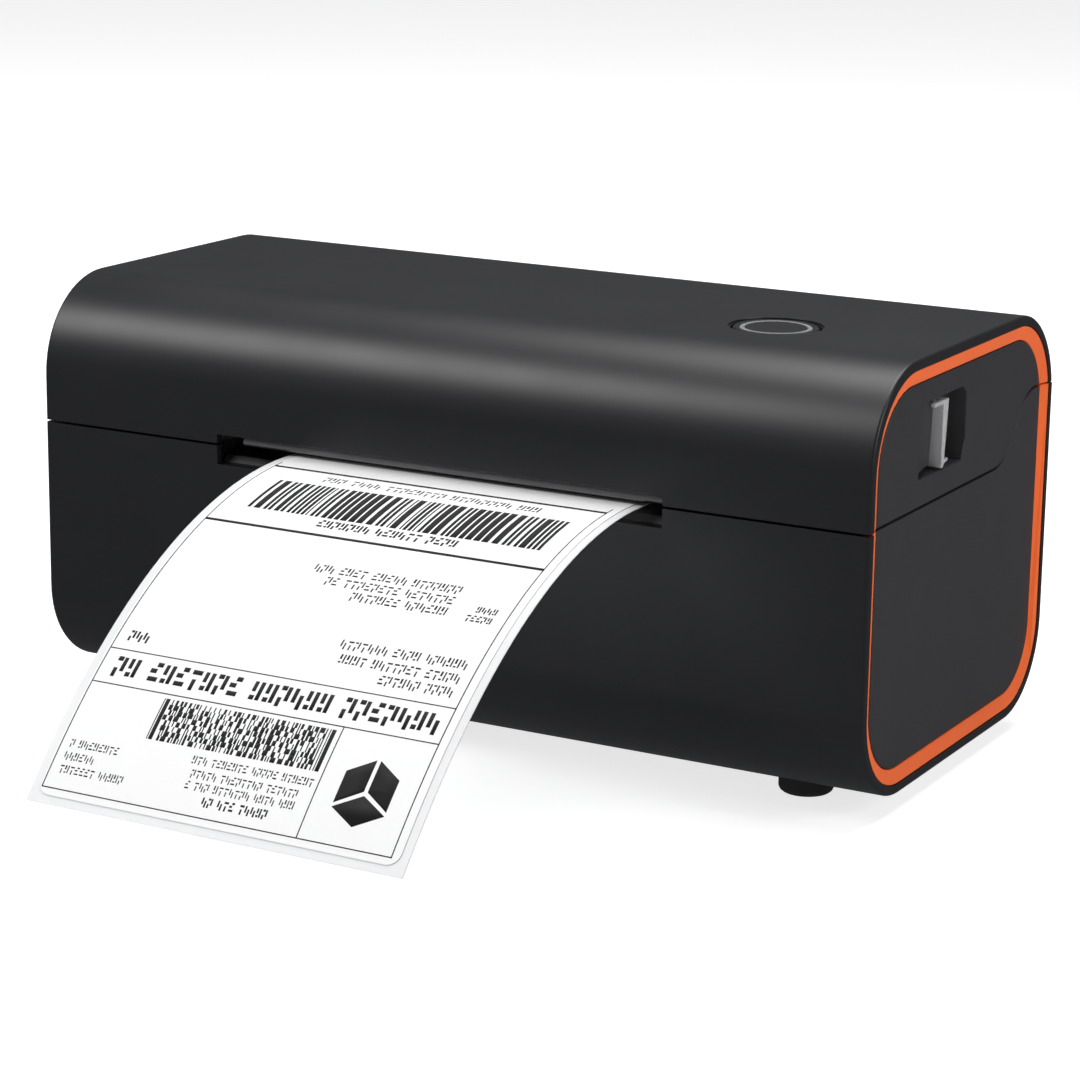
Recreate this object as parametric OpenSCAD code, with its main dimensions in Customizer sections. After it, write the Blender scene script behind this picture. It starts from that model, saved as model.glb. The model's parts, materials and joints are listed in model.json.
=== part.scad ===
// Desktop thermal label printer with a rear-hinged cover, side release levers and a printed label
// standing out of its front slot. Millimetres, +Z up, the front face looks along -Y.

/* [Body] */
// Width of the body, side to side
body_w = 220; // [216:1:226]
// Depth of the body, front to back
body_d = 109; // [108:0.5:111]
// Height of the body without its feet
body_h = 99; // [98:0.5:101]
// Height of the rubber feet below the body
foot_h = 4.2; // [3:0.1:6]
// Outer radius of the long top front edge
top_front_r = 23.5; // [20:0.5:24]
// Outer radius of the long top rear edge
top_rear_r = 23; // [20:0.5:23.5]
// Outer radius of the long bottom front edge
bottom_front_r = 22.5; // [20:0.5:23]
// Outer radius of the long bottom rear edge
bottom_rear_r = 21.5; // [19:0.5:22]
// Wall thickness of the casing and the cover
wall = 2.3; // [2:0.1:2.4]

/* [Seam] */
// Height of the seam between cover and casing along the front
seam_low = 64.3; // [64:0.1:64.6]
// Height of the seam along the rear wall
seam_high = 79.8; // [79.6:0.1:80]
// Angle of the rising part of the seam on the sides
seam_slope = 50.6; // [45:0.1:56]
// Half of the gap left along the seam
seam_gap = 0.3; // [0.25:0.05:0.35]

/* [Trim] */
// Width of the coloured trim ring around each side panel
trim_w = 3.45; // [2.5:0.05:3.6]
// Clear gap between neighbouring side pieces
trim_gap = 0.15; // [0.1:0.05:0.2]
// How far the side panels sit below the ends of the shell
panel_sunk = 1; // [0.5:0.1:1.2]

/* [Front slot] */
// Left end of the label slot
slot_left = -59.2; // [-60:0.1:-58.5]
// Right end of the label slot
slot_right = 59.9; // [59:0.1:60.5]
// Lower edge of the label slot
slot_low = 59.5; // [58.5:0.1:60]
// Upper edge of the label slot
slot_high = 66.7; // [66.5:0.1:67.5]

/* [Label] */
// Left edge of the label stock
stock_left = -39.9; // [-41:0.1:-38]
// Width of the label stock
stock_w = 94.3; // [90:0.1:95]
// Thickness of the backing paper
liner_t = 0.22; // [0.2:0.01:0.24]
// Thickness of a label on the backing paper
face_t = 0.16; // [0.12:0.01:0.18]
// Length of the printed strip that stands out of the slot
strip_out = 119; // [90:1:122]

/* [Button] */
// Side position of the feed button
button_x = 66.2; // [62:0.1:68]
// Distance of the feed button from the front face
button_y = 43.7; // [43:0.1:46]
// Radius of the feed button
button_r = 10.1; // [9.5:0.1:10.3]
// Travel of the feed button
button_travel = 0.8; // [0.5:0.1:0.9]

/* [Hidden] */
$fn = 64;

half_w = body_w / 2;
far = 200;          // longer than the body, for cuts that pass right through
skin = 0.01;        // overlap that joins touching solids of one piece

// Ends of the shell: a pocket holds the trim ring and the side panel in front of an end wall
pocket_x = half_w - 3;
end_wall_x = pocket_x - 2;
panel_face_x = half_w - panel_sunk;
trim_outer = wall + trim_gap;
trim_inner = trim_outer + trim_w;
panel_edge = trim_inner + trim_gap;

// Seam on the sides: level, a lower arc, a straight rise, an upper arc, level
seam_foot_y = 81.5;
seam_head_y = seam_foot_y + (seam_high - seam_low) / tan(seam_slope);
seam_foot_r = 13.8;
seam_head_r = 11.6;

// Cover hinge along the rear edge
hinge_y = body_d - 0.8;
hinge_z = seam_high + seam_gap + 0.1;
knuckle_r = 2.4;
knuckle_clear_r = 2.8;
hinge_pin_r = 1.2;
knuckle_in = 40;      // inner end of each cover knuckle
knuckle_mid = 50;     // where cover knuckle and casing knuckle meet
knuckle_out = 60;     // outer end of each casing knuckle
hinge_play = 0.3;

// Label stock runs level over the platen and hangs down in front
stock_z = 63.36;
stock_right = stock_left + stock_w;
stock_rear_y = 103;
strip_step = 3.5;
bend_rate = 0.62;     // degrees of droop per mm at the slot
bend_ease = 0.0017;   // how fast the droop eases off
label_margin = 2;
first_label = 150;    // length of the printed label
label_gap = 3;

// Platen and its gear train, on the left of the left frame
platen_y = 24;
platen_r = 8;
platen_z = stock_z - 0.06 - platen_r;
platen_half = 57;
shaft_r = 3;
frame_x = 62;         // inner face of each steel side frame
frame_t = 2;
gear_x0 = -71;
gear_x1 = -66;
gear_m = 0.8;
platen_teeth = 24;
idler_teeth = 36;
pinion_teeth = 16;
idler_angle = -50;
motor_angle = -20;
platen_idler = gear_m * (platen_teeth + idler_teeth) / 2;
idler_motor = gear_m * (idler_teeth + pinion_teeth) / 2;
idler_y = platen_y + platen_idler * cos(idler_angle);
idler_z = platen_z + platen_idler * sin(idler_angle);
motor_y = idler_y + idler_motor * cos(motor_angle);
motor_z = idler_z + idler_motor * sin(motor_angle);
stud_r = 2;
platen_phase = 90;
idler_phase = meshed(platen_phase, platen_teeth, idler_teeth, idler_angle);
pinion_phase = meshed(idler_phase, idler_teeth, pinion_teeth, motor_angle);

// Paper deck and the two coupled side guides, driven through one pinion under the deck
deck_z = 62.4;
deck_t = 2;
deck_front_y = 34;
guide_mid_x = stock_left + stock_w / 2;
guide_gap = 0.5;
fence_t = 2.4;
guide_out = 3.5;      // travel of each guide outwards from rest
guide_in = 33;        // travel of each guide inwards from rest
rack_m = 1;
rack_teeth = 14;
rack_pitch = PI * rack_m;
guide_pinion_r = rack_m * rack_teeth / 2;
guide_pinion_y = 72;
gear_addendum = 0.75;
gear_dedendum = 1.15;
flank_play = 0.06;
rack_z0 = 56.2;
rack_z1 = 59.4;
rack_body = 3.2;
stem_w = 3;

// Release latch: a cross shaft in the cover with a lever and a hook at each side
latch_y = 40;
latch_z = 86.5;
latch_r = 2.5;
hook_x = 86;
hook_t = 3.5;
strike_y = 46.7;
strike_z = 61.4;
strike_r = 1.5;
blade_front = 40.8;   // front face of each lever blade
blade_top = 87;
blade_low = 71.3;
recess_rear = 55.3;
recess_top = 87.9;
flange_front = 35.8;   // front end of the flange on each lever
recess_low = 70.7;
recess_front = 28.5;
recess_floor_x = panel_face_x - 4.4;
cup_back_x = recess_floor_x - 1.2;

// Print head on its sprung bracket
head_z = 63.85;
head_pivot_y = 46;
head_pivot_z = 73;
head_pin_r = 1.5;
carrier_z = 78;       // underside of the cover's inner frame
spring_x = 35;
spring_y = 24;
spring_h = 6.2;

// Tactile switch under the feed button
switch_top = 93.1;

// Rear connections
rear_in_y = body_d - wall;
board_z = 19;
board_t = 1.6;
power_x = 12;
usb_x = 36;
socket_z = board_z + board_t + 5.6;
rocker_x = 84;
rocker_z = 38;

// Underside: feet, service plate, tie bars, and posts of the frames and of the cover's inner frame
foot_places = [[-86, 25], [86, 25], [-86, 84], [86, 84]];
foot_r = 6.4;
foot_seat = 1.2;
plate_x = 76;
plate_y0 = 26;
plate_y1 = 84;
plate_screws = [[-70, 32], [70, 32], [-70, 78], [70, 78]];
frame_posts = [[80, 36], [80, 74]];
cover_posts = [[-70, 56], [20, 56], [70, 60]];
tie_places = [34, 90];
tie_z = 14;
tie_r = 3;
screw_r = 1.5;

// Middle of the whole model, front to back, with the strip standing out of the slot
strip_reach = -strip_end()[0];
front_y = (strip_reach - hinge_y - knuckle_r) / 2;

// ---- shared shapes ----

// Moves a piece from body coordinates to the model's own frame
module placed() {
    translate([0, front_y, foot_h]) children();
}

// Extrudes a side outline, drawn as depth and height, along X
module along_x(x0, x1) {
    translate([x0, 0, 0]) rotate([90, 0, 90]) linear_extrude(x1 - x0) children();
}

module block(x0, x1, y0, y1, z0, z1) {
    translate([x0, y0, z0]) cube([x1 - x0, y1 - y0, z1 - z0]);
}

module rod_x(x0, x1, y, z, r) {
    translate([x0, y, z]) rotate([0, 90, 0]) cylinder(h = x1 - x0, r = r);
}

module rod_y(x, z, y0, y1, r) {
    translate([x, y1, z]) rotate([90, 0, 0]) cylinder(h = y1 - y0, r = r);
}

module both_sides() {
    children();
    mirror([1, 0, 0]) children();
}

// Side outline of the body, moved in by an inset
module outline(inset = 0) {
    rear = body_d;
    for (c = [[bottom_front_r, bottom_front_r, bottom_front_r],
              [rear - bottom_rear_r, bottom_rear_r, bottom_rear_r],
              [rear - top_rear_r, body_h - top_rear_r, top_rear_r],
              [top_front_r, body_h - top_front_r, top_front_r]])
        translate([c[0], c[1]]) circle(r = c[2] - inset, $fn = 128);
    polygon([[bottom_front_r, inset], [rear - bottom_rear_r, inset],
             [rear - inset, bottom_rear_r], [rear - inset, body_h - top_rear_r],
             [rear - top_rear_r, body_h - inset], [top_front_r, body_h - inset],
             [inset, body_h - top_front_r], [inset, bottom_front_r]]);
}

function arc_points(cy, cz, r, a0, a1, steps = 10) =
    [for (i = [0:steps]) let (a = a0 + (a1 - a0) * i / steps) [cy + r * cos(a), cz + r * sin(a)]];

// The seam as a line of points, raised by dz
function seam_line(dz) =
    let (t1 = seam_foot_r * tan(seam_slope / 2), t2 = seam_head_r * tan(seam_slope / 2))
    concat([[-far, seam_low + dz]],
           arc_points(seam_foot_y - t1, seam_low + seam_foot_r + dz, seam_foot_r,
                      -90, -90 + seam_slope),
           arc_points(seam_head_y + t2, seam_high - seam_head_r + dz, seam_head_r,
                      90 + seam_slope, 90),
           [[far, seam_high + dz]]);

module below_seam(gap = seam_gap) {
    polygon(concat(seam_line(-gap), [[far, -far], [-far, -far]]));
}

module above_seam(gap = seam_gap) {
    polygon(concat(seam_line(gap), [[far, far], [-far, far]]));
}

// Droop angle of the strip at a distance s from the slot
function droop(s) = bend_rate * s - bend_ease * s * s;

// Points along the hanging stock, from the slot outwards, at a height above its underside
function strip_run(rise) =
    let (n = ceil(strip_out / strip_step), ds = strip_out / n)
    [for (i = 0, y = 0, z = 0; i <= n;
          y = y - ds * cos(droop((i + 0.5) * ds)), z = z - ds * sin(droop((i + 0.5) * ds)), i = i + 1)
        [y - rise * sin(droop(i * ds)), stock_z + z + rise * cos(droop(i * ds))]];

// The same points, ended at a length from the slot
function strip_points(rise, length) =
    let (run = strip_run(rise), at = length * (len(run) - 1) / strip_out,
         whole = floor(at + 0.001), part = at - whole)
    concat([for (i = [0:whole]) run[i]],
           part > 0.001 ? [run[whole] * (1 - part) + run[whole + 1] * part] : []);

function strip_end() =
    let (p = strip_run(0)) p[len(p) - 1];

// A layer of the stock between two heights above its underside
module strip_layer(low, high, length, rear) {
    under = strip_points(low, length);
    over = strip_points(high, length);
    polygon(concat([[rear, stock_z + low]], under,
                   [for (i = [len(over) - 1:-1:0]) over[i]], [[rear, stock_z + high]]));
}

// Polar angle of an involute at radius r
function involute(r, base) =
    r <= base ? 0 : let (t = sqrt(pow(r / base, 2) - 1)) t * 180 / PI - atan(t);

function flank_radii(teeth, m) =
    let (p = m * teeth / 2, base = p * cos(20), root = p - gear_dedendum * m,
         tip = p + gear_addendum * m, start = max(base, root + 0.05))
    [root, start, (start + p) / 2, p, (p + tip) / 2, tip];

function half_tooth(r, teeth, m) =
    let (p = m * teeth / 2, base = p * cos(20))
    90 / teeth - flank_play / p * 180 / PI + involute(p, base) - involute(r, base);

function gear_points(teeth, m, phase) =
    let (radii = flank_radii(teeth, m), last = len(radii) - 1)
    [for (k = [0:teeth - 1], side = [-1, 1], i = [0:last])
        let (r = radii[side < 0 ? i : last - i],
             a = phase + k * 360 / teeth + side * half_tooth(r, teeth, m))
        [r * cos(a), r * sin(a)]];

// Phase of a gear that meshes with another whose phase is known, lying at an angle from it
function meshed(phase, teeth, other_teeth, angle) =
    angle + 180 - (phase - angle) * teeth / other_teeth + 180 / other_teeth;

// One side of a rack: its teeth stand along Y towards +Y from the pitch line at zero
module rack_teeth(x0, x1, mid) {
    w = rack_pitch / 4 - flank_play;
    tip = gear_addendum * rack_m;
    root = gear_dedendum * rack_m;
    for (k = [ceil((x0 + w * 2 - mid) / rack_pitch - 0.5):floor((x1 - w * 2 - mid) / rack_pitch - 0.5)])
        translate([mid + (k + 0.5) * rack_pitch, 0])
            polygon([[-w - root * tan(20), -root], [w + root * tan(20), -root],
                     [w - tip * tan(20), tip], [-w + tip * tan(20), tip]]);
    translate([x0, -root - rack_body]) square([x1 - x0, rack_body + skin]);
}

// Points and faces of a round wire wound into an open coil, standing on z = 0
function coil_ring(r, wire, pitch, a, sides) =
    let (lift = pitch * a / 360)
    [for (k = [0:sides - 1]) let (t = 360 * k / sides, q = r + wire * cos(t))
        [q * cos(a), q * sin(a), lift + wire * sin(t)]];

module coil(r, wire, height, turns) {
    sides = 6;
    steps = turns * 14;
    pitch = (height - 2 * wire) / turns;
    points = [for (i = [0:steps]) each coil_ring(r, wire, pitch, turns * 360 * i / steps, sides)];
    walls = [for (i = [0:steps - 1], k = [0:sides - 1]) let (n = (k + 1) % sides)
        [i * sides + k, i * sides + n, (i + 1) * sides + n, (i + 1) * sides + k]];
    caps = [[for (k = [sides - 1:-1:0]) k], [for (k = [0:sides - 1]) steps * sides + k]];
    translate([0, 0, wire]) polyhedron(points, concat(walls, caps), convexity = 8);
}

// A machine screw with a domed head, its axis along Z, the head's seat at z = 0
module screw(head_r, head_h, shank_r, shank_l) {
    difference() {
        union() {
            translate([0, 0, -head_h]) cylinder(h = head_h, r = head_r);
            translate([0, 0, -skin]) cylinder(h = shank_l + skin, r = shank_r);
        }
        for (a = [0, 90])
            rotate([0, 0, a]) translate([-head_r * 0.6, -0.35, -head_h - skin])
                cube([head_r * 1.2, 0.7, head_h * 0.5]);
    }
}

// ---- casing ----

module lower_casing() {
    placed() color([0.12, 0.12, 0.13]) difference() {
        union() {
            along_x(-half_w, half_w) intersection() {
                difference() {
                    outline();
                    outline(wall);
                }
                below_seam();
            }
            both_sides() along_x(end_wall_x, pocket_x) intersection() {
                outline(wall / 2);
                below_seam();
            }
            both_sides() rod_x(93, end_wall_x + skin, strike_y, strike_z - 0.6, 3.1);
            both_sides() rod_x(knuckle_mid, knuckle_out, hinge_y, hinge_z, knuckle_r);
            // posts under the feet of the side frames
            both_sides() for (p = frame_posts)
                translate([p[0], p[1], wall - skin]) cylinder(h = 5, r = 3.4);
        }
        // label slot in the front wall
        block(slot_left, slot_right, -far / 2, wall + 1, slot_low, seam_low + 1);
        // slot for the stock in the rear wall
        block(-60, 60, rear_in_y - 1, body_d + 10, 62, 72);
        // service opening in the floor
        block(-plate_x, plate_x, plate_y0, plate_y1, -1, wall + skin);
        // room for the cover's knuckles, and the hinge bores
        both_sides() rod_x(knuckle_in - hinge_play, knuckle_mid, hinge_y, hinge_z, knuckle_clear_r);
        both_sides() rod_x(knuckle_mid - 1, knuckle_out - 1, hinge_y, hinge_z, hinge_pin_r);
        // bores of the strike pins
        both_sides() rod_x(92, 98, strike_y, strike_z, strike_r);
        // seats of the feet
        for (p = foot_places)
            translate([p[0], p[1], -1]) cylinder(h = 1 + foot_seat, r = foot_r);
        // rear connections
        block(power_x - 4.6, power_x + 4.6, rear_in_y - 1, body_d + 1, socket_z - 5.6, socket_z + 5.6);
        block(usb_x - 6.2, usb_x + 6.2, rear_in_y - 1, body_d + 1, socket_z - 5.6, socket_z + 5.6);
        block(rocker_x - 6.6, rocker_x + 6.6, rear_in_y - 1, body_d + 1, rocker_z - 9.6, rocker_z + 9.6);
        // cooling louvres in the rear wall
        for (i = [0:6])
            block(-92 + i * 5, -90 + i * 5, rear_in_y - 1, body_d + 1, 28, 52);
        // screw holes in the posts
        both_sides() for (p = frame_posts)
            translate([p[0], p[1], wall + 0.6]) cylinder(h = 9, r = 1.5);
    }
}

module bottom_cover() {
    g = 0.3;
    placed() color([0.14, 0.14, 0.15]) difference() {
        block(-plate_x + g, plate_x - g, plate_y0 + g, plate_y1 - g, 0.4, wall - 0.2);
        for (p = plate_screws) translate([p[0], p[1], -1]) {
            cylinder(h = 5, r = 1.7);
            cylinder(h = 1 + 1.2, r = 3);
        }
        for (i = [0:11])
            block(-33 + i * 6, -30 + i * 6, 44, 66, -1, wall + 1);
    }
}

module bottom_screws() {
    placed() color([0.55, 0.55, 0.57])
        for (p = plate_screws) translate([p[0], p[1], 1.2]) screw(2.8, 0.8, 1.5, 8);
}

module rubber_feet() {
    dome = 1.4;
    placed() color([0.08, 0.08, 0.08]) for (p = foot_places) translate([p[0], p[1], -foot_h])
        rotate_extrude() {
            square([foot_r - dome, foot_h + foot_seat]);
            translate([0, dome]) square([foot_r, foot_h + foot_seat - dome]);
            translate([foot_r - dome, dome]) circle(r = dome);
        }
}

module lower_panel() {
    along_x(pocket_x, panel_face_x) intersection() {
        outline(panel_edge);
        below_seam();
    }
}

module upper_panel() {
    z0 = recess_low - 1.2;
    z1 = recess_top + 1.2;
    difference() {
        union() {
            along_x(pocket_x, panel_face_x) intersection() {
                outline(panel_edge);
                above_seam();
            }
            block(cup_back_x, pocket_x + skin, recess_front - 1.3, recess_rear + 1.2, z0, z1);
        }
        // pocket around and behind the lever, its front wall slanted to clear the swing
        along_x(recess_floor_x, half_w + 1) polygon([
            [blade_front - 0.3, recess_top], [recess_rear - 2, recess_top],
            [recess_rear, recess_top - 1.6], [recess_rear + 0.4, 76], [recess_rear - 1.4, recess_low],
            [blade_front - 3.2, recess_low]]);
        // low front corner, where the end of the lever swings to
        block(recess_floor_x, half_w + 1, recess_front, blade_front, recess_low, recess_low + 1.9);
        // finger ramp in front of the lever
        translate([0, 0, recess_low + 0.5]) linear_extrude(recess_top - recess_low - 0.5)
            polygon([[panel_face_x + 1, recess_front - 1.1], [panel_face_x, recess_front],
                     [panel_face_x - 0.6, recess_front + 3], [panel_face_x - 2, blade_front - 0.4],
                     [panel_face_x + 1, blade_front + 1]]);
        // way through the floor for the lever's stem
        block(cup_back_x - 1, recess_floor_x + 1, blade_front - 2.5, blade_front + 4.2, 75, 84.6);
    }
}

module lower_side_panel_right() {
    placed() color([0.23, 0.22, 0.24]) lower_panel();
}

module lower_side_panel_left() {
    placed() color([0.23, 0.22, 0.24]) mirror([1, 0, 0]) lower_panel();
}

module upper_side_panel_right() {
    placed() color([0.23, 0.22, 0.24]) upper_panel();
}

module upper_side_panel_left() {
    placed() color([0.23, 0.22, 0.24]) mirror([1, 0, 0]) upper_panel();
}

module trim_ring() {
    along_x(pocket_x, half_w - 0.2) intersection() {
        difference() {
            outline(trim_outer);
            outline(trim_inner);
        }
        children();
    }
}

module lower_trim_right() {
    placed() color([0.91, 0.38, 0.2]) trim_ring() below_seam(seam_gap * 0.5);
}

module lower_trim_left() {
    placed() color([0.91, 0.38, 0.2]) mirror([1, 0, 0]) trim_ring() below_seam(seam_gap * 0.5);
}

module upper_trim_right() {
    placed() color([0.91, 0.38, 0.2]) trim_ring() above_seam(seam_gap * 0.5);
}

module upper_trim_left() {
    placed() color([0.91, 0.38, 0.2]) mirror([1, 0, 0]) trim_ring() above_seam(seam_gap * 0.5);
}

// ---- paper path in the casing ----

module paper_deck() {
    under = deck_z - deck_t;
    left_y = guide_pinion_y + guide_pinion_r + gear_dedendum * rack_m;
    right_y = guide_pinion_y - guide_pinion_r - gear_dedendum * rack_m - stem_w;
    fence_left = stock_left - guide_gap;
    fence_right = stock_right + guide_gap;
    placed() color([0.16, 0.16, 0.17]) difference() {
        union() {
            block(-frame_x, frame_x, deck_front_y, rear_in_y - 0.2, under, deck_z);
            // turned-down front and rear edges
            block(-frame_x, frame_x, deck_front_y, deck_front_y + 2, under - 3, under + skin);
            block(-frame_x, frame_x, rear_in_y - 2.2, rear_in_y - 0.2, under - 6, under + skin);
            for (x = [-52, -20, 28, 50])
                block(x, x + 2, deck_front_y, 56, under - 3, under + skin);
            // low ribs that carry the stock
            for (x = [-30:12:42])
                block(x - 0.6, x + 0.6, 37, 49.5, deck_z - skin, deck_z + 0.5);
            // boss of the guide pinion
            translate([guide_mid_x, guide_pinion_y, rack_z0 - 1]) cylinder(h = under - rack_z0 + 1 + skin, r = 1.8);
        }
        block(fence_left - fence_t - guide_out - 0.3, fence_left + guide_in + 0.3,
              left_y - 0.3, left_y + stem_w + 0.3, under - 1, deck_z + 1);
        block(fence_right - guide_in - 0.3, fence_right + fence_t + guide_out + 0.3,
              right_y - 0.3, right_y + stem_w + 0.3, under - 1, deck_z + 1);
        // window of the lower media sensor
        block(2, 12.4, 40, 48, under - 4, deck_z + 1);
    }
}

module exit_guide() {
    placed() color([0.13, 0.13, 0.14]) {
        along_x(slot_left + 0.2, slot_right - 0.2)
            polygon([[wall + 0.1, slot_low - 1.4], [wall + 0.1, slot_low + 0.3], [4, 61.2],
                     [14.6, 62.2], [14.6, 60.6], [5, 58.1]]);
        both_sides() block(slot_right - 2.2, frame_x, 7, 13, 57, 60.6);
    }
}

module side_frame() {
    bore = shaft_r + 1.6;
    difference() {
        union() {
            along_x(frame_x, frame_x + frame_t) difference() {
                polygon([[14, 8], [14, 50], [12, 57], [16, 61], [30, 62], [34, 60.2], [92, 60.2], [96, 54],
                         [96, 22], [90, 8]]);
                polygon([[44, 44], [74, 52], [86, 52], [86, 46], [82, 46]]);
                translate([30, 22]) circle(r = 5);
            }
            // turned-out foot
            block(frame_x, frame_x + 24, 28.5, 81.5, wall + 5.1, wall + 7.1);
        }
        rod_x(frame_x - 1, frame_x + frame_t + 1, platen_y, platen_z, bore);
        for (p = frame_posts) translate([p[0], p[1], wall + 5]) cylinder(h = 3, r = 1.5);
        for (y = [32, 78]) translate([70, y, wall + 5]) cylinder(h = 3, r = 1.5);
        for (y = tie_places) rod_x(frame_x - 1, frame_x + frame_t + 1, y, tie_z, screw_r);
        children();
    }
}

module frame_left() {
    placed() color([0.72, 0.73, 0.75]) mirror([1, 0, 0]) side_frame() {
        rod_x(frame_x - 1, frame_x + 4, motor_y, motor_z, 5.2);
        rod_x(frame_x - 1, frame_x + 4, idler_y, idler_z, stud_r);
        for (dy = [-13, 13], dz = [-13, 13])
            rod_x(frame_x - 1, frame_x + 4, motor_y + dy, motor_z + dz, 1.55);
    }
}

module frame_right() {
    placed() color([0.72, 0.73, 0.75]) side_frame();
}

module frame_screws() {
    placed() color([0.6, 0.6, 0.62]) {
        for (dy = [-13, 13], dz = [-13, 13])
            translate([-frame_x - frame_t, motor_y + dy, motor_z + dz]) rotate([0, 90, 0])
                screw(2.6, 1.6, 1.5, 5);
        for (y = tie_places) both_sides()
            translate([frame_x + frame_t, y, tie_z]) rotate([0, -90, 0]) screw(2.8, 1.6, screw_r, 3.5);
        for (p = frame_posts) both_sides()
            translate([p[0], p[1], wall + 7.1]) rotate([180, 0, 0]) screw(2.8, 1.6, 1.5, 6);
    }
}

module frame_tie_bars() {
    placed() color([0.66, 0.67, 0.69]) for (y = tie_places) difference() {
        rod_x(-frame_x, frame_x, y, tie_z, tie_r);
        both_sides() rod_x(frame_x - 3, frame_x + 1, y, tie_z, screw_r);
    }
}

module platen_bushings() {
    placed() color([0.85, 0.82, 0.74]) both_sides() difference() {
        union() {
            rod_x(frame_x - 0.2, frame_x + frame_t + 0.2, platen_y, platen_z, shaft_r + 1.58);
            rod_x(frame_x - 1.6, frame_x - 0.1, platen_y, platen_z, shaft_r + 3);
        }
        rod_x(frame_x - 2, frame_x + 5, platen_y, platen_z, shaft_r + 0.05);
    }
}

module stepper_motor() {
    s = 17.5;
    x0 = -frame_x;
    placed() color([0.3, 0.31, 0.33]) difference() {
        union() {
            intersection() {
                block(x0, x0 + 3, motor_y - s, motor_y + s, motor_z - s, motor_z + s);
                rod_x(x0, x0 + 3, motor_y, motor_z, s * 1.27);
            }
            intersection() {
                block(x0 + 3 - skin, x0 + 21, motor_y - s, motor_y + s, motor_z - s, motor_z + s);
                rod_x(x0, x0 + 21, motor_y, motor_z, s * 1.2);
            }
            intersection() {
                block(x0 + 21 - skin, x0 + 24, motor_y - s, motor_y + s, motor_z - s, motor_z + s);
                rod_x(x0, x0 + 24, motor_y, motor_z, s * 1.27);
            }
            // pilot boss and connector
            rod_x(x0 - frame_t - 0.6, x0 + skin, motor_y, motor_z, 5.15);
            block(x0 + 18, x0 + 23.8, motor_y - 7, motor_y + 7, motor_z - s - 4, motor_z - s + skin);
        }
        rod_x(x0 - frame_t - 1, x0 + 6, motor_y, motor_z, 2.6);
        for (dy = [-13, 13], dz = [-13, 13])
            rod_x(x0 - 1, x0 + 4, motor_y + dy, motor_z + dz, 1.5);
    }
}

module idler_stud() {
    placed() color([0.75, 0.76, 0.78]) {
        rod_x(-frame_x - frame_t, -frame_x, idler_y, idler_z, stud_r);
        rod_x(-frame_x - frame_t - 1, -frame_x - frame_t, idler_y, idler_z, stud_r + 1.5);
        rod_x(gear_x0 - 1.2, -frame_x - frame_t, idler_y, idler_z, stud_r);
        rod_x(gear_x0 - 2, gear_x0 - 0.6, idler_y, idler_z, stud_r + 1.2);
    }
}

// ---- electronics ----

module main_board() {
    placed() color([0.1, 0.35, 0.22]) difference() {
        block(-24, 60, 50, rear_in_y - 1, board_z, board_z + board_t);
        for (x = [-20, 56], y = [54, 84])
            translate([x, y, board_z - 1]) cylinder(h = 4, r = 1.6);
    }
}

module board_components() {
    top = board_z + board_t;
    placed() color([0.2, 0.2, 0.22]) {
        block(-4, 12, 60, 76, top, top + 1.6);
        block(20, 30, 60, 67, top, top + 1.4);
        block(20, 26, 72, 80, top, top + 1.2);
        block(38, 50, 58, 74, top, top + 6);
        block(-20, -14, 64, 90, top, top + 5);
        block(-10, 12, 52, 56, top, top + 5.4);
        block(20, 48, 51.5, 54.5, top, top + 3);
        for (x = [-6, 2]) translate([x, 88, top]) cylinder(h = 12, r = 4);
        translate([51, 86, top]) cylinder(h = 6, r = 5);
        // posts that hold the board
        for (x = [-20, 56], y = [54, 84])
            translate([x, y, wall]) cylinder(h = board_z - wall, r = 3);
        for (x = [-20, 56], y = [54, 84])
            translate([x, y, board_z - skin]) cylinder(h = board_t + 1.2, r = 1.5);
    }
}

module usb_socket() {
    y1 = body_d - 0.6;
    placed() color([0.8, 0.8, 0.82]) {
        difference() {
            block(usb_x - 6, usb_x + 6, y1 - 16, y1, socket_z - 5.55, socket_z + 5.4);
            along_y_socket(usb_x, socket_z, 4.6, 4.2, y1);
        }
        block(usb_x - 2.8, usb_x + 2.8, y1 - 10, y1 - 1.2, socket_z - 1.5, socket_z + 1.5);
    }
}

// Square mouth with two cut upper corners, open to the rear
module along_y_socket(x, z, hx, hz, y1) {
    translate([x, y1 + 1, z]) rotate([90, 0, 0]) linear_extrude(10.5)
        polygon([[-hx, -hz], [hx, -hz], [hx, hz - 2], [hx - 2, hz], [2 - hx, hz], [-hx, hz - 2]]);
}

module power_socket() {
    y1 = body_d - 0.6;
    placed() color([0.1, 0.1, 0.1]) {
        difference() {
            block(power_x - 4.5, power_x + 4.5, y1 - 14, y1, socket_z - 5.55, socket_z + 5.4);
            rod_y(power_x, socket_z, y1 - 9.5, y1 + 1, 3.2);
        }
        rod_y(power_x, socket_z, y1 - 10, y1 - 1, 1);
    }
}

module switch_bezel() {
    y1 = body_d + 1.2;
    placed() color([0.06, 0.06, 0.06]) difference() {
        union() {
            block(rocker_x - 7.6, rocker_x + 7.6, body_d, y1, rocker_z - 10.6, rocker_z + 10.6);
            block(rocker_x - 6.5, rocker_x + 6.5, body_d - 13, body_d + skin, rocker_z - 9.5, rocker_z + 9.5);
        }
        block(rocker_x - 5, rocker_x + 5, body_d - 7, y1 + 1, rocker_z - 8.3, rocker_z + 8.3);
        rod_x(rocker_x - 6, rocker_x + 6, body_d - 2.5, rocker_z, 1.05);
    }
}

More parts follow.
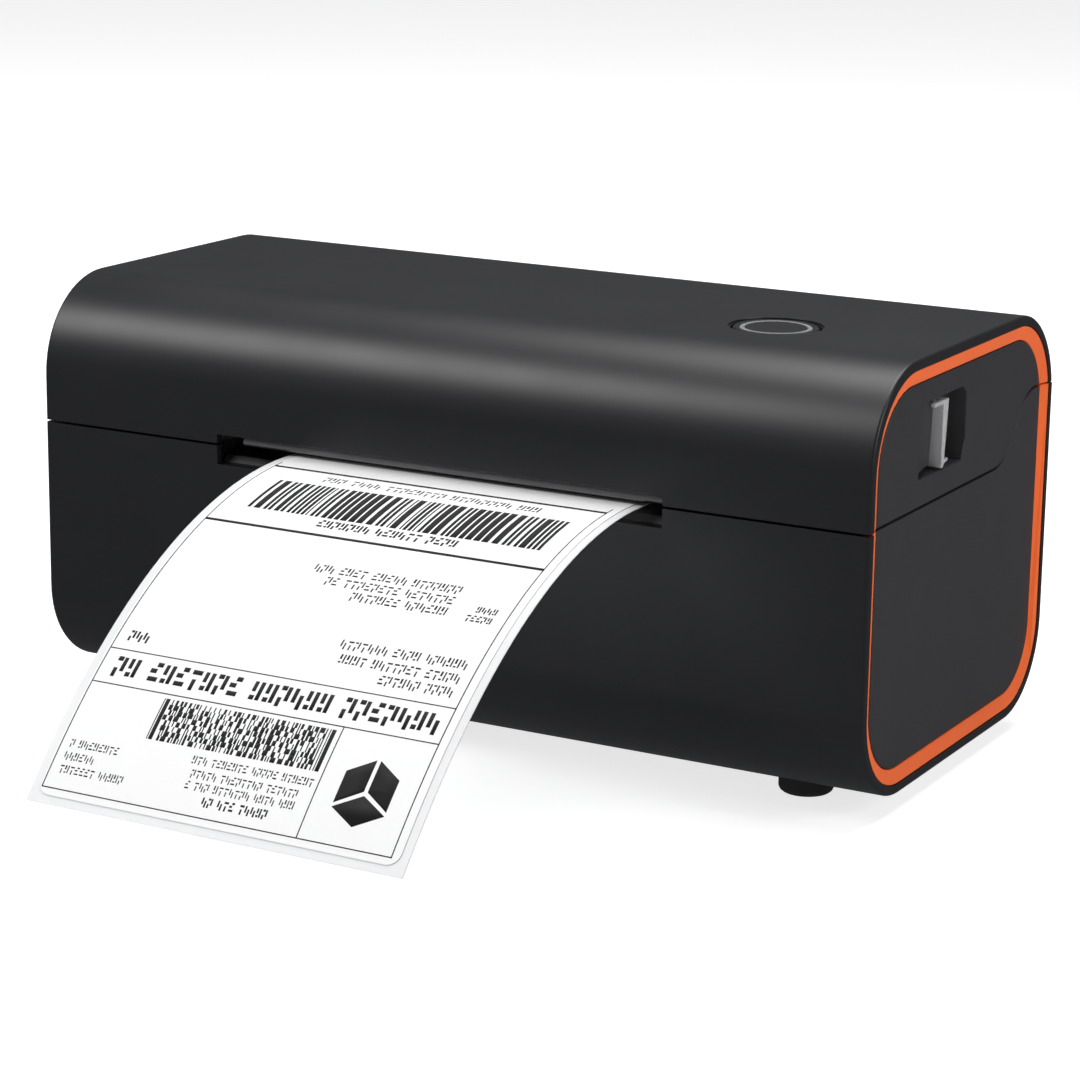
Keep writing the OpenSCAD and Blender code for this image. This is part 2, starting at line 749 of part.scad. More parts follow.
module power_rocker() {
    placed() color([0.05, 0.05, 0.05]) rotate_about_x(body_d - 2.5, rocker_z, -8) {
        difference() {
            along_x(rocker_x - 4.7, rocker_x + 4.7) polygon([
                [body_d - 5.2, rocker_z - 4.6], [body_d + 1.3, rocker_z - 7.4], [body_d + 0.5, rocker_z],
                [body_d + 1.3, rocker_z + 7.4], [body_d - 5.2, rocker_z + 4.6]]);
            rod_x(rocker_x - 6, rocker_x + 6, body_d - 2.5, rocker_z, 1);
        }
        rod_x(rocker_x - 5.9, rocker_x + 5.9, body_d - 2.5, rocker_z, 1);
    }
}

module rotate_about_x(y, z, a) {
    translate([0, y, z]) rotate([a, 0, 0]) translate([0, -y, -z]) children();
}

module lower_media_sensor() {
    placed() color([0.15, 0.15, 0.16]) {
        block(2.2, 12.2, 40.2, 47.8, 57.6, deck_z - 0.1);
        block(-2, 2.2, 42, 46, 57.6, 59.2);
    }
}

module cover_switch() {
    placed() color([0.13, 0.13, 0.14]) {
        block(frame_x + frame_t, frame_x + frame_t + 5, 66, 80, 50, 57);
        block(frame_x + frame_t + 1.6, frame_x + frame_t + 3.4, 68, 79, 57 - skin, 59.4);
    }
}

module strike_pins() {
    placed() color([0.75, 0.76, 0.78]) both_sides() rod_x(84, 98, strike_y, strike_z, strike_r);
}

module hinge_pins() {
    placed() color([0.75, 0.76, 0.78]) both_sides()
        rod_x(knuckle_in + 0.6, knuckle_out - 1, hinge_y, hinge_z, hinge_pin_r);
}

// ---- label ----

module label_liner() {
    placed() color([0.86, 0.87, 0.88])
        along_x(stock_left, stock_right) strip_layer(0, liner_t, strip_out, stock_rear_y);
}

module label_face() {
    run = first_label - (strip_out - label_margin);
    placed() color([0.97, 0.97, 0.97]) {
        along_x(stock_left + label_margin, stock_right - label_margin)
            strip_layer(liner_t, liner_t + face_t, strip_out - label_margin, run);
        block(stock_left + label_margin, stock_right - label_margin, run + label_gap, stock_rear_y,
              stock_z + liner_t, stock_z + liner_t + face_t);
    }
}

// ---- cover ----

module top_cover() {
    well_z = 93.4;
    placed() color([0.13, 0.13, 0.14]) difference() {
        union() {
            along_x(-half_w, half_w) intersection() {
                difference() {
                    outline();
                    outline(wall);
                }
                above_seam();
            }
            both_sides() along_x(end_wall_x, pocket_x) intersection() {
                outline(wall / 2);
                above_seam();
            }
            both_sides() rod_x(knuckle_in, knuckle_mid - hinge_play, hinge_y, hinge_z, knuckle_r);
            // well of the feed button
            translate([button_x, button_y, well_z]) cylinder(h = body_h - well_z - 1, r = button_r + 2.2);
            // posts for the inner frame
            for (p = cover_posts)
                translate([p[0], p[1], 88]) cylinder(h = body_h - wall - 88 + 1, r = 3.2);
            // stiffening ribs under the roof
            for (x = [-84, -28, 28, 84])
                along_x(x - 0.8, x + 0.8) intersection() {
                    difference() {
                        outline(wall / 2);
                        outline(wall + 2.2);
                    }
                    translate([26, 60]) square([60, 60]);
                }
        }
        // upper part of the label slot
        block(slot_left, slot_right, -far / 2, wall + 1, seam_low - 1, slot_high);
        // button hole, with a shallow dish around it
        translate([button_x, button_y, well_z - 1]) cylinder(h = 10, r = button_r + 0.5);
        translate([button_x, button_y, body_h - 0.5]) cylinder(h = 1, r = button_r + 0.9);
        // windows for the recess cups
        both_sides() block(end_wall_x - 1, pocket_x + 1, recess_front - 1.6, recess_rear + 1.5,
                           recess_low - 1.5, recess_top + 1.5);
        // room for the casing's knuckles, and the hinge bores
        both_sides() rod_x(knuckle_mid - hinge_play, knuckle_out + hinge_play, hinge_y, hinge_z, knuckle_clear_r);
        both_sides() rod_x(knuckle_in + 0.5, knuckle_mid + 1, hinge_y, hinge_z, hinge_pin_r + 0.05);
        // screw holes in the posts
        for (p = cover_posts)
            translate([p[0], p[1], 87]) cylinder(h = 6, r = 1.5);
    }
}

module tear_bar() {
    x0 = -52;
    x1 = slot_right - 0.2;
    tooth = 1.4;
    count = floor((x1 - x0 - 1) / tooth);
    placed() color([0.35, 0.35, 0.37]) difference() {
        along_x(x0, x1) polygon([[0.5, 65.2], [1.1, 64.7], [3.2, 64.7], [3.2, 66], [2.2, 66.6], [0.9, 66.6]]);
        // serration along the lower edge
        for (i = [0:count - 1])
            translate([x0 + 1 + i * tooth, 0, 64.2]) rotate([90, 45, 0])
                translate([0, 0, -1.2]) cube([0.6, 0.6, 1.2]);
    }
}

module cover_frame() {
    plate = 2;
    lug = 3;
    placed() color([0.18, 0.18, 0.19]) difference() {
        union() {
            block(-92, 92, 15, 52, carrier_z, carrier_z + plate);
            block(-92, 92, 15, 17, carrier_z - 3, carrier_z + skin);
            // bearing lugs of the latch shaft
            both_sides() for (x = [80, 30])
                block(x, x + lug, latch_y - 5, latch_y + 5, carrier_z + plate - skin, latch_z + 4.5);
            // legs up to the cover's posts
            for (p = cover_posts) {
                block(p[0] - 4, p[0] + 4, 50, p[1] + 4, carrier_z, carrier_z + plate);
                translate([p[0], p[1], carrier_z + plate - skin]) cylinder(h = 88 - carrier_z - plate + skin, r = 3.6);
            }
            // lugs of the head pivot
            both_sides() block(58.3, 60.3, head_pivot_y - 4, head_pivot_y + 4, head_pivot_z - 4, carrier_z + skin);
            // arm of the upper media sensor
            block(4, 10, 41, 47, 71, carrier_z + skin);
        }
        both_sides() rod_x(28, 90, latch_y, latch_z, latch_r + 0.05);
        // windows for the swing of the hooks
        both_sides() block(hook_x - 0.8, hook_x + hook_t + 0.8, latch_y - 7, latch_y + 5.5,
                           carrier_z - 1, carrier_z + plate + 1);
        both_sides() rod_x(57, 62, head_pivot_y, head_pivot_z, head_pin_r + 0.05);
        for (p = cover_posts)
            translate([p[0], p[1], carrier_z - 1]) cylinder(h = 12, r = 1.7);
    }
}

module cover_screws() {
    placed() color([0.6, 0.6, 0.62])
        for (p = cover_posts) translate([p[0], p[1], carrier_z]) screw(2.8, 1.4, 1.45, 14.5);
}

module button_board() {
    placed() color([0.1, 0.33, 0.22]) {
        block(button_x - 13, button_x + 13, 33, 53, 90.2, 91.6);
        block(button_x - 3, button_x + 3, button_y - 3, button_y + 3, 91.6, 92.6);
        translate([button_x, button_y, 92.6]) cylinder(h = switch_top - 92.6, r = 1.6);
        // side walls that carry the board in the well
        for (x = [-12.4, 11.4])
            translate([button_x + x, 34, 91.6]) cube([1, 18, 1.8]);
    }
}

module upper_media_sensor() {
    placed() color([0.15, 0.15, 0.16]) block(3.4, 10.6, 40.4, 47.6, 66.6, 71);
}

// A close-wound return spring on the latch shaft
module latch_spring() {
    placed() color([0.7, 0.7, 0.72]) translate([-62, latch_y, latch_z]) rotate([0, 90, 0]) {
        for (i = [0:7]) translate([0, 0, i * 0.95]) rotate_extrude() translate([3.4, 0]) circle(r = 0.5, $fn = 16);
        translate([3.4, 0, 0]) rotate([0, 90, 0]) cylinder(h = 3.1, r = 0.5, $fn = 16);
    }
}

module head_springs() {
    placed() color([0.7, 0.7, 0.72]) both_sides()
        translate([spring_x, spring_y, carrier_z - spring_h]) coil(2.6, 0.35, spring_h, 6);
}

module head_bracket() {
    placed() color([0.74, 0.75, 0.77]) difference() {
        union() {
            block(-57.9, 57.9, 15.5, 36, 70.2, 71.7);
            both_sides() along_x(56.4, 57.9) polygon([
                [30, 70.2], [50, 70.2], [50, 76], [42, 76], [36, 71.7], [30, 71.7]]);
        }
        both_sides() rod_x(55, 60, head_pivot_y, head_pivot_z, head_pin_r);
        block(2, 12, 33, 37, 69, 73);
    }
}

module heat_sink() {
    placed() color([0.8, 0.81, 0.82]) difference() {
        block(-56, 56, 16.5, 33.5, head_z + 1, 70.2);
        for (i = [0:2])
            block(-57, 57, 19.5 + i * 4.4, 21.5 + i * 4.4, 67.2, 69.2);
    }
}

module print_head() {
    placed() color([0.9, 0.89, 0.86]) {
        block(-54, 54, 18.5, 31, head_z, head_z + 1);
        block(-50, 50, 31, 33.5, head_z + 0.2, head_z + 1);
    }
}

module head_pivot_pins() {
    placed() color([0.75, 0.76, 0.78]) both_sides()
        rod_x(55.6, 61.2, head_pivot_y, head_pivot_z, head_pin_r);
}

module feed_button() {
    top = body_h - 0.25;
    placed() color([0.14, 0.14, 0.15]) translate([button_x, button_y, 0]) difference() {
        union() {
            translate([0, 0, 94.2]) cylinder(h = top - 94.2, r = button_r);
            translate([0, 0, switch_top + button_travel]) cylinder(h = 2, r = 2);
        }
        difference() {
            translate([0, 0, 94]) cylinder(h = 3, r = button_r - 1.4);
            translate([0, 0, 93.5]) cylinder(h = 4, r = 2);
        }
        difference() {
            translate([0, 0, top - 0.6]) cylinder(h = 1, r = 8.5);
            translate([0, 0, top - 1]) cylinder(h = 2, r = 7.2);
        }
    }
}

module button_light_ring() {
    top = body_h - 0.3;
    placed() color([0.75, 0.77, 0.8]) translate([button_x, button_y, top - 0.5]) difference() {
        cylinder(h = 0.5, r = 8.45);
        translate([0, 0, -1]) cylinder(h = 2, r = 7.25);
    }
}

// ---- latch ----

module latch_shaft() {
    placed() color([0.76, 0.77, 0.79]) rod_x(-102.6, 102.6, latch_y, latch_z, latch_r);
}

// Lever in the side recess: an upright blade with a flange at its top and a small foot behind it
module latch_lever() {
    x_out = panel_face_x + 0.4;
    blade_low_t = 1.3;
    blade_top_t = 3;
    hub_x0 = 99;
    hub_x1 = 102.4;
    difference() {
        union() {
            rod_x(hub_x0, hub_x1, latch_y, latch_z, latch_r + 2.4);
            along_x(hub_x0, hub_x1) polygon([[latch_y - 4.6, latch_z], [latch_y + 4, latch_z],
                                             [blade_front + 3.6, 76.2], [blade_front + 0.2, 76.2]]);
            block(hub_x1 - skin, recess_floor_x + 1, blade_front + 0.2, blade_front + 3.6, 76.2, 83.8);
            along_x(recess_floor_x + 0.4, x_out) polygon([
                [blade_front, blade_low], [blade_front + blade_low_t, blade_low],
                [blade_front + blade_low_t, blade_low + 0.7], [blade_front + 3.6, blade_low + 1.2],
                [blade_front + 3.6, blade_low + 1.9], [blade_front + blade_low_t + 0.2, blade_low + 1.9],
                [blade_front + blade_top_t, blade_top], [blade_front, blade_top]]);
            block(x_out - 1.2, x_out, flange_front, blade_front + 1, blade_top - 0.9, blade_top);
        }
        rod_x(hub_x0 - 1, hub_x1 + 2, latch_y, latch_z, latch_r);
    }
}

module latch_lever_right() {
    placed() color([0.82, 0.82, 0.84]) latch_lever();
}

module latch_lever_left() {
    placed() color([0.82, 0.82, 0.84]) mirror([1, 0, 0]) latch_lever();
}

module latch_hooks() {
    tip = strike_y - 1.1;
    placed() color([0.7, 0.71, 0.73]) both_sides() difference() {
        union() {
            rod_x(hook_x, hook_x + hook_t, latch_y, latch_z, latch_r + 2.6);
            along_x(hook_x, hook_x + hook_t) polygon([
                [latch_y - 3.4, latch_z], [latch_y + 3.4, latch_z], [latch_y + 2.2, 62], [latch_y + 2.6, 59.3],
                [tip, 59.2], [tip, 58.2], [latch_y + 1.4, 56.4], [latch_y - 2.4, 57.4]]);
        }
        rod_x(hook_x - 1, hook_x + hook_t + 1, latch_y, latch_z, latch_r);
    }
}

// ---- drive ----

module platen_roller() {
    placed() color([0.09, 0.09, 0.09]) difference() {
        rod_x(-platen_half, platen_half, platen_y, platen_z, platen_r);
        rod_x(-platen_half - 1, platen_half + 1, platen_y, platen_z, shaft_r + 1);
    }
}

module platen_shaft() {
    placed() color([0.77, 0.78, 0.8]) {
        rod_x(gear_x0 - 2, frame_x + frame_t + 2, platen_y, platen_z, shaft_r);
        rod_x(-platen_half, platen_half, platen_y, platen_z, shaft_r + 1);
    }
}

module spur(teeth, phase, y, z, x0, x1, bore) {
    difference() {
        translate([x0, y, z]) rotate([90, 0, 90]) linear_extrude(x1 - x0)
            polygon(gear_points(teeth, gear_m, phase));
        rod_x(x0 - 1, x1 + 1, y, z, bore);
        children();
    }
}

module platen_gear() {
    placed() color([0.9, 0.9, 0.86])
        spur(platen_teeth, platen_phase, platen_y, platen_z, gear_x0, gear_x1, shaft_r);
}

module idler_gear() {
    placed() color([0.88, 0.88, 0.84])
        spur(idler_teeth, idler_phase, idler_y, idler_z, gear_x0, gear_x1, stud_r + 0.05) {
            for (a = [0:60:300])
                rod_x(gear_x0 - 1, gear_x1 + 1, idler_y + 8 * cos(a), idler_z + 8 * sin(a), 2.4);
        }
}

module motor_pinion() {
    placed() color([0.78, 0.66, 0.36]) {
        spur(pinion_teeth, pinion_phase, motor_y, motor_z, gear_x0, gear_x1, 2);
        rod_x(gear_x0 - 0.5, -frame_x + 5, motor_y, motor_z, 2);
    }
}

// ---- side guides ----

module side_guide(sign, rack_y, face_x) {
    outer = face_x + sign * fence_t;
    x0 = min(face_x, outer);
    inner_end = guide_mid_x - sign * (guide_out + 6.3);
    toothed_end = guide_mid_x + sign * (guide_in + 5.2);
    top = rack_z1;
    // fence
    block(x0, x0 + fence_t, 50, 98, deck_z + 0.1, 71);
    for (y = [50, 96]) block(min(face_x, outer), max(face_x, outer), y, y + 2, deck_z + 0.1, 72.5);
    // stem through the deck, and the arm of the rack
    stem_y = rack_y > guide_pinion_y ? rack_y + gear_dedendum : rack_y - gear_dedendum - stem_w;
    block(x0, x0 + fence_t, stem_y, stem_y + stem_w, rack_z0, deck_z + 0.1 + skin);
    block(min(outer, inner_end), max(outer, inner_end), stem_y, stem_y + stem_w, rack_z0, top);
    translate([0, rack_y, rack_z0]) linear_extrude(top - rack_z0)
        mirror([0, rack_y > guide_pinion_y ? 1 : 0])
            rack_teeth(min(inner_end, toothed_end), max(inner_end, toothed_end), guide_mid_x);
}

module guide_left() {
    placed() color([0.2, 0.2, 0.22])
        side_guide(-1, guide_pinion_y + guide_pinion_r, stock_left - guide_gap);
}

module guide_right() {
    placed() color([0.2, 0.2, 0.22])
        side_guide(1, guide_pinion_y - guide_pinion_r, stock_right + guide_gap);
}

module guide_pinion() {
    placed() color([0.9, 0.9, 0.86]) translate([guide_mid_x, guide_pinion_y, rack_z0]) difference() {
        linear_extrude(rack_z1 - rack_z0) polygon(gear_points(rack_teeth, rack_m, 90));
        translate([0, 0, -1]) cylinder(h = 10, r = 1.85);
    }
}

lower_casing();
bottom_cover();
bottom_screws();
rubber_feet();
lower_side_panel_right();
lower_side_panel_left();
lower_trim_right();
lower_trim_left();
paper_deck();
exit_guide();
frame_left();
frame_right();
frame_screws();
frame_tie_bars();
platen_bushings();
stepper_motor();
idler_stud();
main_board();
board_components();
usb_socket();
power_socket();
switch_bezel();
lower_media_sensor();
cover_switch();
strike_pins();
hinge_pins();
label_liner();
label_face();
top_cover();
upper_side_panel_right();
upper_side_panel_left();
upper_trim_right();
upper_trim_left();
tear_bar();
cover_frame();
cover_screws();
button_board();
upper_media_sensor();
latch_spring();
head_springs();
head_bracket();
heat_sink();
print_head();
head_pivot_pins();
feed_button();
button_light_ring();
latch_shaft();
latch_lever_right();
latch_lever_left();
latch_hooks();
platen_roller();
platen_shaft();
platen_gear();
idler_gear();
motor_pinion();
guide_left();
guide_right();
guide_pinion();
power_rocker();
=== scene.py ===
"""Looks of a desktop thermal label printer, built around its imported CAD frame."""

import json
import logging
import math
import random
from collections.abc import Callable, Iterable, Sequence
from dataclasses import dataclass
from enum import Enum
from typing import TypeAlias

import bmesh
import bpy
from bmesh.types import BMEdge, BMFace, BMesh, BMVert
from mathutils import Matrix, Vector


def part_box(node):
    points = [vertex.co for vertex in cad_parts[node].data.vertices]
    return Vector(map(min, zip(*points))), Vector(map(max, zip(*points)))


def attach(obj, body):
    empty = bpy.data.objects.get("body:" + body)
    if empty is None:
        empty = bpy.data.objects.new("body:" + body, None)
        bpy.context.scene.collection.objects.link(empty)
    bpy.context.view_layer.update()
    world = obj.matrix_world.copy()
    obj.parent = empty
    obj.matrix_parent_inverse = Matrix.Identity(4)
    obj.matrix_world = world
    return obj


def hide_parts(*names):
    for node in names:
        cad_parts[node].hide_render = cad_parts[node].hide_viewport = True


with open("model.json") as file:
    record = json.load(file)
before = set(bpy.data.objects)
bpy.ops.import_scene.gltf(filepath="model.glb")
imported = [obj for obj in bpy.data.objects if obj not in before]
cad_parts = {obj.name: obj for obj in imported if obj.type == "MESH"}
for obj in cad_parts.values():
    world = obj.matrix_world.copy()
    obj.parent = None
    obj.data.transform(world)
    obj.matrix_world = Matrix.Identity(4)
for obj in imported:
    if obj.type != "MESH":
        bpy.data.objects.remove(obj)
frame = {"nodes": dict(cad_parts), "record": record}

LOG = logging.getLogger("label_printer")
MM = 0.001
CASING_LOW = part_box("lower_casing")[0]
SHIFT = Vector((0.0, CASING_LOW.y, CASING_LOW.z))
Colour = tuple[float, float, float]
Setting = str | int | float | bool
Given: TypeAlias = "float | Sequence[float] | Field"


def placed(x: float, y: float, z: float) -> Vector:
    """Turns body millimetres into the frame's metres."""
    return Vector((x, y, z)) * MM + SHIFT


# ---- materials ----


class Field:
    """A value that varies over a surface, with the arithmetic of Math nodes."""

    def __init__(self, recipe: "Recipe", socket: bpy.types.NodeSocket) -> None:
        """Wraps one output socket of a recipe."""
        self.recipe = recipe
        self.socket = socket

    def _math(self, operation: str, first: Given, second: Given) -> "Field":
        """Adds one Math node and gives its result."""
        return self.recipe.field("ShaderNodeMath", {"operation": operation}, {0: first, 1: second})

    def __add__(self, other: Given) -> "Field":
        """Sum of two values."""
        return self._math("ADD", self, other)

    def __sub__(self, other: Given) -> "Field":
        """Difference of two values."""
        return self._math("SUBTRACT", self, other)

    def __rsub__(self, other: Given) -> "Field":
        """Difference, with the number first."""
        return self._math("SUBTRACT", other, self)

    def __mul__(self, other: Given) -> "Field":
        """Product of two values."""
        return self._math("MULTIPLY", self, other)

    __radd__ = __add__
    __rmul__ = __mul__

    def over(self, level: float) -> "Field":
        """One where the value is above a level, and nought elsewhere."""
        return self._math("GREATER_THAN", self, level)


class Recipe:
    """One material in the making: its nodes, its shader and its patterns."""

    def __init__(self, name: str, colour: Colour, roughness: float, **constants: Given) -> None:
        """Starts a material from its plain values.

        Args:
            name: the material's name.
            colour: linear base colour.
            roughness: the shader's roughness.
            **constants: other sockets of the shader, spaces written as underscores.
        """
        self.material = bpy.data.materials.new(name)
        self.material.use_nodes = True
        self.tree = self.material.node_tree
        self.tree.nodes.clear()
        self.shader = self.node("ShaderNodeBsdfPrincipled", {}, {"Base Color": (*colour, 1.0)})
        self.shader.inputs["Roughness"].default_value = roughness
        for key, value in constants.items():
            socket = key.replace("_", " ").title().replace("Ior", "IOR")
            self.shader.inputs[socket].default_value = value
        out = self.node("ShaderNodeOutputMaterial", {}, {})
        self.tree.links.new(self.shader.outputs["BSDF"], out.inputs["Surface"])
        self.colour = colour
        self.material.diffuse_color = (*colour, 1.0)
        self.coordinates = self.node("ShaderNodeTexCoord", {}, {})

    def node(
        self, kind: str, settings: dict[str, Setting], values: dict[int | str, Given]
    ) -> bpy.types.Node:
        """Adds a node.

        Args:
            kind: the node's type name.
            settings: properties, which are set first.
            values: what each input takes, a number, a colour or a link.

        Returns:
            The new node.
        """
        made = self.tree.nodes.new(kind)
        for key, value in settings.items():
            setattr(made, key, value)
        for key, value in values.items():
            if isinstance(value, Field):
                self.tree.links.new(value.socket, made.inputs[key])
            elif isinstance(value, bpy.types.NodeSocket):
                self.tree.links.new(value, made.inputs[key])
            else:
                made.inputs[key].default_value = value
        return made

    def field(
        self,
        kind: str,
        settings: dict[str, Setting],
        values: dict[int | str, Given],
        output: int | str = 0,
    ) -> Field:
        """Adds a node and gives one of its outputs as a value."""
        return Field(self, self.node(kind, settings, values).outputs[output])

    def place(self, stretch: Colour = (1.0, 1.0, 1.0)) -> Field:
        """Object coordinates, stretched along each axis."""
        return self.field(
            "ShaderNodeMapping",
            {"vector_type": "POINT"},
            {"Vector": self.coordinates.outputs["Object"], "Scale": stretch},
        )

    def noise(self, size: float, detail: float = 2.0, stretch: Colour = (1.0, 1.0, 1.0)) -> Field:
        """Noise whose lumps are about a size in millimetres across."""
        return self.field(
            "ShaderNodeTexNoise",
            {"noise_dimensions": "3D"},
            {"Vector": self.place(stretch), "Scale": 1.0 / (size * MM), "Detail": detail},
        )

    def mix(self, share: Field, first: Given, second: Given) -> Field:
        """Mixes two colours by a share."""
        blend = {6: first, 7: second}
        for key, value in blend.items():
            if isinstance(value, tuple) and len(value) == 3:
                blend[key] = (*value, 1.0)
        return self.field(
            "ShaderNodeMix", {"data_type": "RGBA"}, {0: share, **blend}, output=2
        )

    def tint(self, share: Field, spread: float) -> Field:
        """The base colour, darker and lighter by a spread."""
        dark = tuple(c * (1.0 - spread) for c in self.colour)
        light = tuple(min(c * (1.0 + spread), 1.0) for c in self.colour)
        return self.mix(share, dark, light)

    def feed(self, **links: Field) -> None:
        """Links fields to the shader's sockets, named with underscores."""
        for key, value in links.items():
            self.tree.links.new(value.socket, self.shader.inputs[key.replace("_", " ")])

    def raise_by(self, height: Field, depth: float, strength: float = 1.0) -> None:
        """Bumps the surface by a height field, its depth in millimetres."""
        bump = self.field(
            "ShaderNodeBump", {}, {"Strength": strength, "Distance": depth * MM, "Height": height}
        )
        self.feed(Normal=bump)


@dataclass(frozen=True)
class Moulded:
    """Moulded plastic or rubber: tool texture, slow gloss drift and faint flow marks."""

    colour: Colour
    roughness: float
    grain: float = 0.35
    depth: float = 0.012
    spread: float = 0.12
    coat: float = 0.0

    def make(self, name: str) -> bpy.types.Material:
        """Builds the material."""
        recipe = Recipe(
            name, self.colour, self.roughness, coat_weight=self.coat, coat_roughness=0.2
        )
        fine = recipe.noise(self.grain, 3.0)
        drift = recipe.noise(26.0, 2.0)
        flow = recipe.noise(9.0, 3.0, (0.35, 1.0, 1.0))
        recipe.feed(
            Base_Color=recipe.tint(flow * 0.6 + fine * 0.4, self.spread),
            Roughness=drift * 0.08 + fine * 0.1 + (self.roughness - 0.09),
        )
        recipe.raise_by(fine + recipe.noise(self.grain * 2.6, 1.0) * 0.6, self.depth)
        return recipe.material


@dataclass(frozen=True)
class Worked:
    """Metal that is rolled, turned, plated or polished, with marks along one axis."""

    colour: Colour
    roughness: float
    grain: float = 0.25
    lay: Colour = (0.04, 1.0, 1.0)
    depth: float = 0.002
    spread: float = 0.1
    metal: float = 1.0

    def make(self, name: str) -> bpy.types.Material:
        """Builds the material."""
        recipe = Recipe(name, self.colour, self.roughness, metallic=self.metal)
        marks = recipe.noise(self.grain, 2.0, self.lay)
        cloud = recipe.noise(14.0, 3.0)
        recipe.feed(
            Base_Color=recipe.tint(cloud * 0.7 + marks * 0.3, self.spread),
            Roughness=marks * 0.12 + cloud * 0.1 + (self.roughness - 0.11),
        )
        recipe.raise_by(marks, self.depth)
        return recipe.material


@dataclass(frozen=True)
class Laminate:
    """Solder-masked board: copper tracks and pads that show through a green coat."""

    colour: Colour
    track: float = 2.4

    def make(self, name: str) -> bpy.types.Material:
        """Builds the material."""
        recipe = Recipe(name, self.colour, 0.32, coat_weight=0.4, coat_roughness=0.15)
        tracks = recipe.field(
            "ShaderNodeTexBrick",
            {"offset": 0.37},
            {
                "Vector": recipe.place(),
                "Scale": 1.0 / (self.track * 4.0 * MM),
                "Mortar Size": 0.02,
                "Color1": (0.0, 0.0, 0.0, 1.0),
                "Color2": (0.0, 0.0, 0.0, 1.0),
                "Mortar": (1.0, 1.0, 1.0, 1.0),
            },
        )
        pads = recipe.noise(self.track, 0.0).over(0.62)
        light = tuple(min(c * 1.9 + 0.01, 1.0) for c in self.colour)
        shown = recipe.mix(tracks * 0.8 + pads * 0.3, self.colour, light)
        recipe.feed(Base_Color=shown, Roughness=pads * 0.12 + 0.28)
        recipe.raise_by(tracks + pads, 0.03)
        return recipe.material


@dataclass(frozen=True)
class Paper:
    """Paper or film stock: a faint fibre cloud and a calendered surface."""

    colour: Colour
    roughness: float
    fibre: float = 0.5
    spread: float = 0.02

    def make(self, name: str) -> bpy.types.Material:
        """Builds the material."""
        recipe = Recipe(name, self.colour, self.roughness)
        fibres = recipe.noise(self.fibre, 4.0, (1.0, 0.45, 1.0))
        cloud = recipe.noise(11.0, 2.0)
        recipe.feed(
            Base_Color=recipe.tint(fibres * 0.5 + cloud * 0.5, self.spread),
            Roughness=fibres * 0.08 + (self.roughness - 0.04),
        )
        recipe.raise_by(fibres, 0.004)
        return recipe.material


@dataclass(frozen=True)
class Glow:
    """Frosted light pipe: milky, with a soft inner scatter of tone."""

    colour: Colour

    def make(self, name: str) -> bpy.types.Material:
        """Builds the material."""
        recipe = Recipe(name, self.colour, 0.35, coat_weight=0.3, coat_roughness=0.1)
        milk = recipe.noise(1.6, 3.0)
        recipe.feed(Base_Color=recipe.tint(milk, 0.08), Roughness=milk * 0.1 + 0.3)
        recipe.raise_by(recipe.noise(0.3, 1.0), 0.003)
        return recipe.material


Finish = Moulded | Worked | Laminate | Paper | Glow

FINISHES: dict[str, Finish] = {
    "shell_black": Moulded((0.0118, 0.0122, 0.0142), 0.4, grain=0.3, depth=0.01),
    "panel_grey": Moulded((0.032, 0.0315, 0.0345), 0.5, grain=0.32, depth=0.014),
    "trim_orange": Moulded((0.88, 0.14, 0.024), 0.36, grain=0.5, depth=0.006, spread=0.05),
    "inner_plastic": Moulded((0.02, 0.02, 0.022), 0.5),
    "rubber_black": Moulded((0.012, 0.012, 0.012), 0.72, grain=0.6, depth=0.03),
    "platen_rubber": Moulded((0.02, 0.02, 0.021), 0.66, grain=0.18, depth=0.012),
    "plated_steel": Worked((0.55, 0.56, 0.58), 0.34),
    "lever_metal": Worked((0.88, 0.88, 0.9), 0.24, lay=(1.0, 1.0, 0.08), depth=0.001, metal=0.6),
    "aluminium_part": Worked((0.68, 0.69, 0.71), 0.38),
    "head_ceramic": Moulded((0.82, 0.79, 0.72), 0.3, grain=0.2, depth=0.003, spread=0.03),
    "motor_can": Moulded((0.05, 0.05, 0.055), 0.38, grain=0.5, depth=0.01),
    "board_green": Laminate((0.02, 0.16, 0.08)),
    "component_black": Moulded((0.02, 0.02, 0.02), 0.46, grain=0.2),
    "gear_acetal": Moulded((0.78, 0.76, 0.68), 0.4, grain=0.5, depth=0.006, spread=0.03),
    "bronze_bush": Worked((0.62, 0.42, 0.2), 0.42, grain=0.4, lay=(1.0, 1.0, 1.0)),
    "brass_pinion": Worked((0.7, 0.5, 0.22), 0.3),
    "socket_metal": Worked((0.6, 0.6, 0.62), 0.3, lay=(1.0, 0.05, 1.0)),
    "switch_black": Moulded((0.012, 0.012, 0.012), 0.24, grain=0.9, depth=0.004, coat=0.2),
    "light_ring": Glow((0.28, 0.285, 0.3)),
    "dark_metal": Worked((0.3, 0.3, 0.31), 0.36),
    "liner_paper": Paper((0.80, 0.81, 0.82), 0.42),
    "label_paper": Paper((0.93, 0.93, 0.93), 0.55, spread=0.012),
    "printed_ink": Paper((0.01, 0.01, 0.011), 0.85, fibre=0.3, spread=0.3),
}


class Palette:
    """Every finish, made once and handed out by slot."""

    def __init__(self) -> None:
        """Makes the materials in the order of the table."""
        self.made = {slot: finish.make(slot) for slot, finish in FINISHES.items()}

    def dress(self, piece: bpy.types.Object, slot: str) -> None:
        """Gives a piece one finish on all its faces."""
        piece.data.materials.clear()
        piece.data.materials.append(self.made[slot])

    def dress_nodes(self) -> None:
        """Gives every CAD node that still shows the finish of its own slot."""
        for part in frame["record"]["subparts"]:
            node = frame["nodes"][part["node"]]
            if not node.hide_render:
                for one in node.material_slots:
                    one.material = self.made[part["material_slot"]]


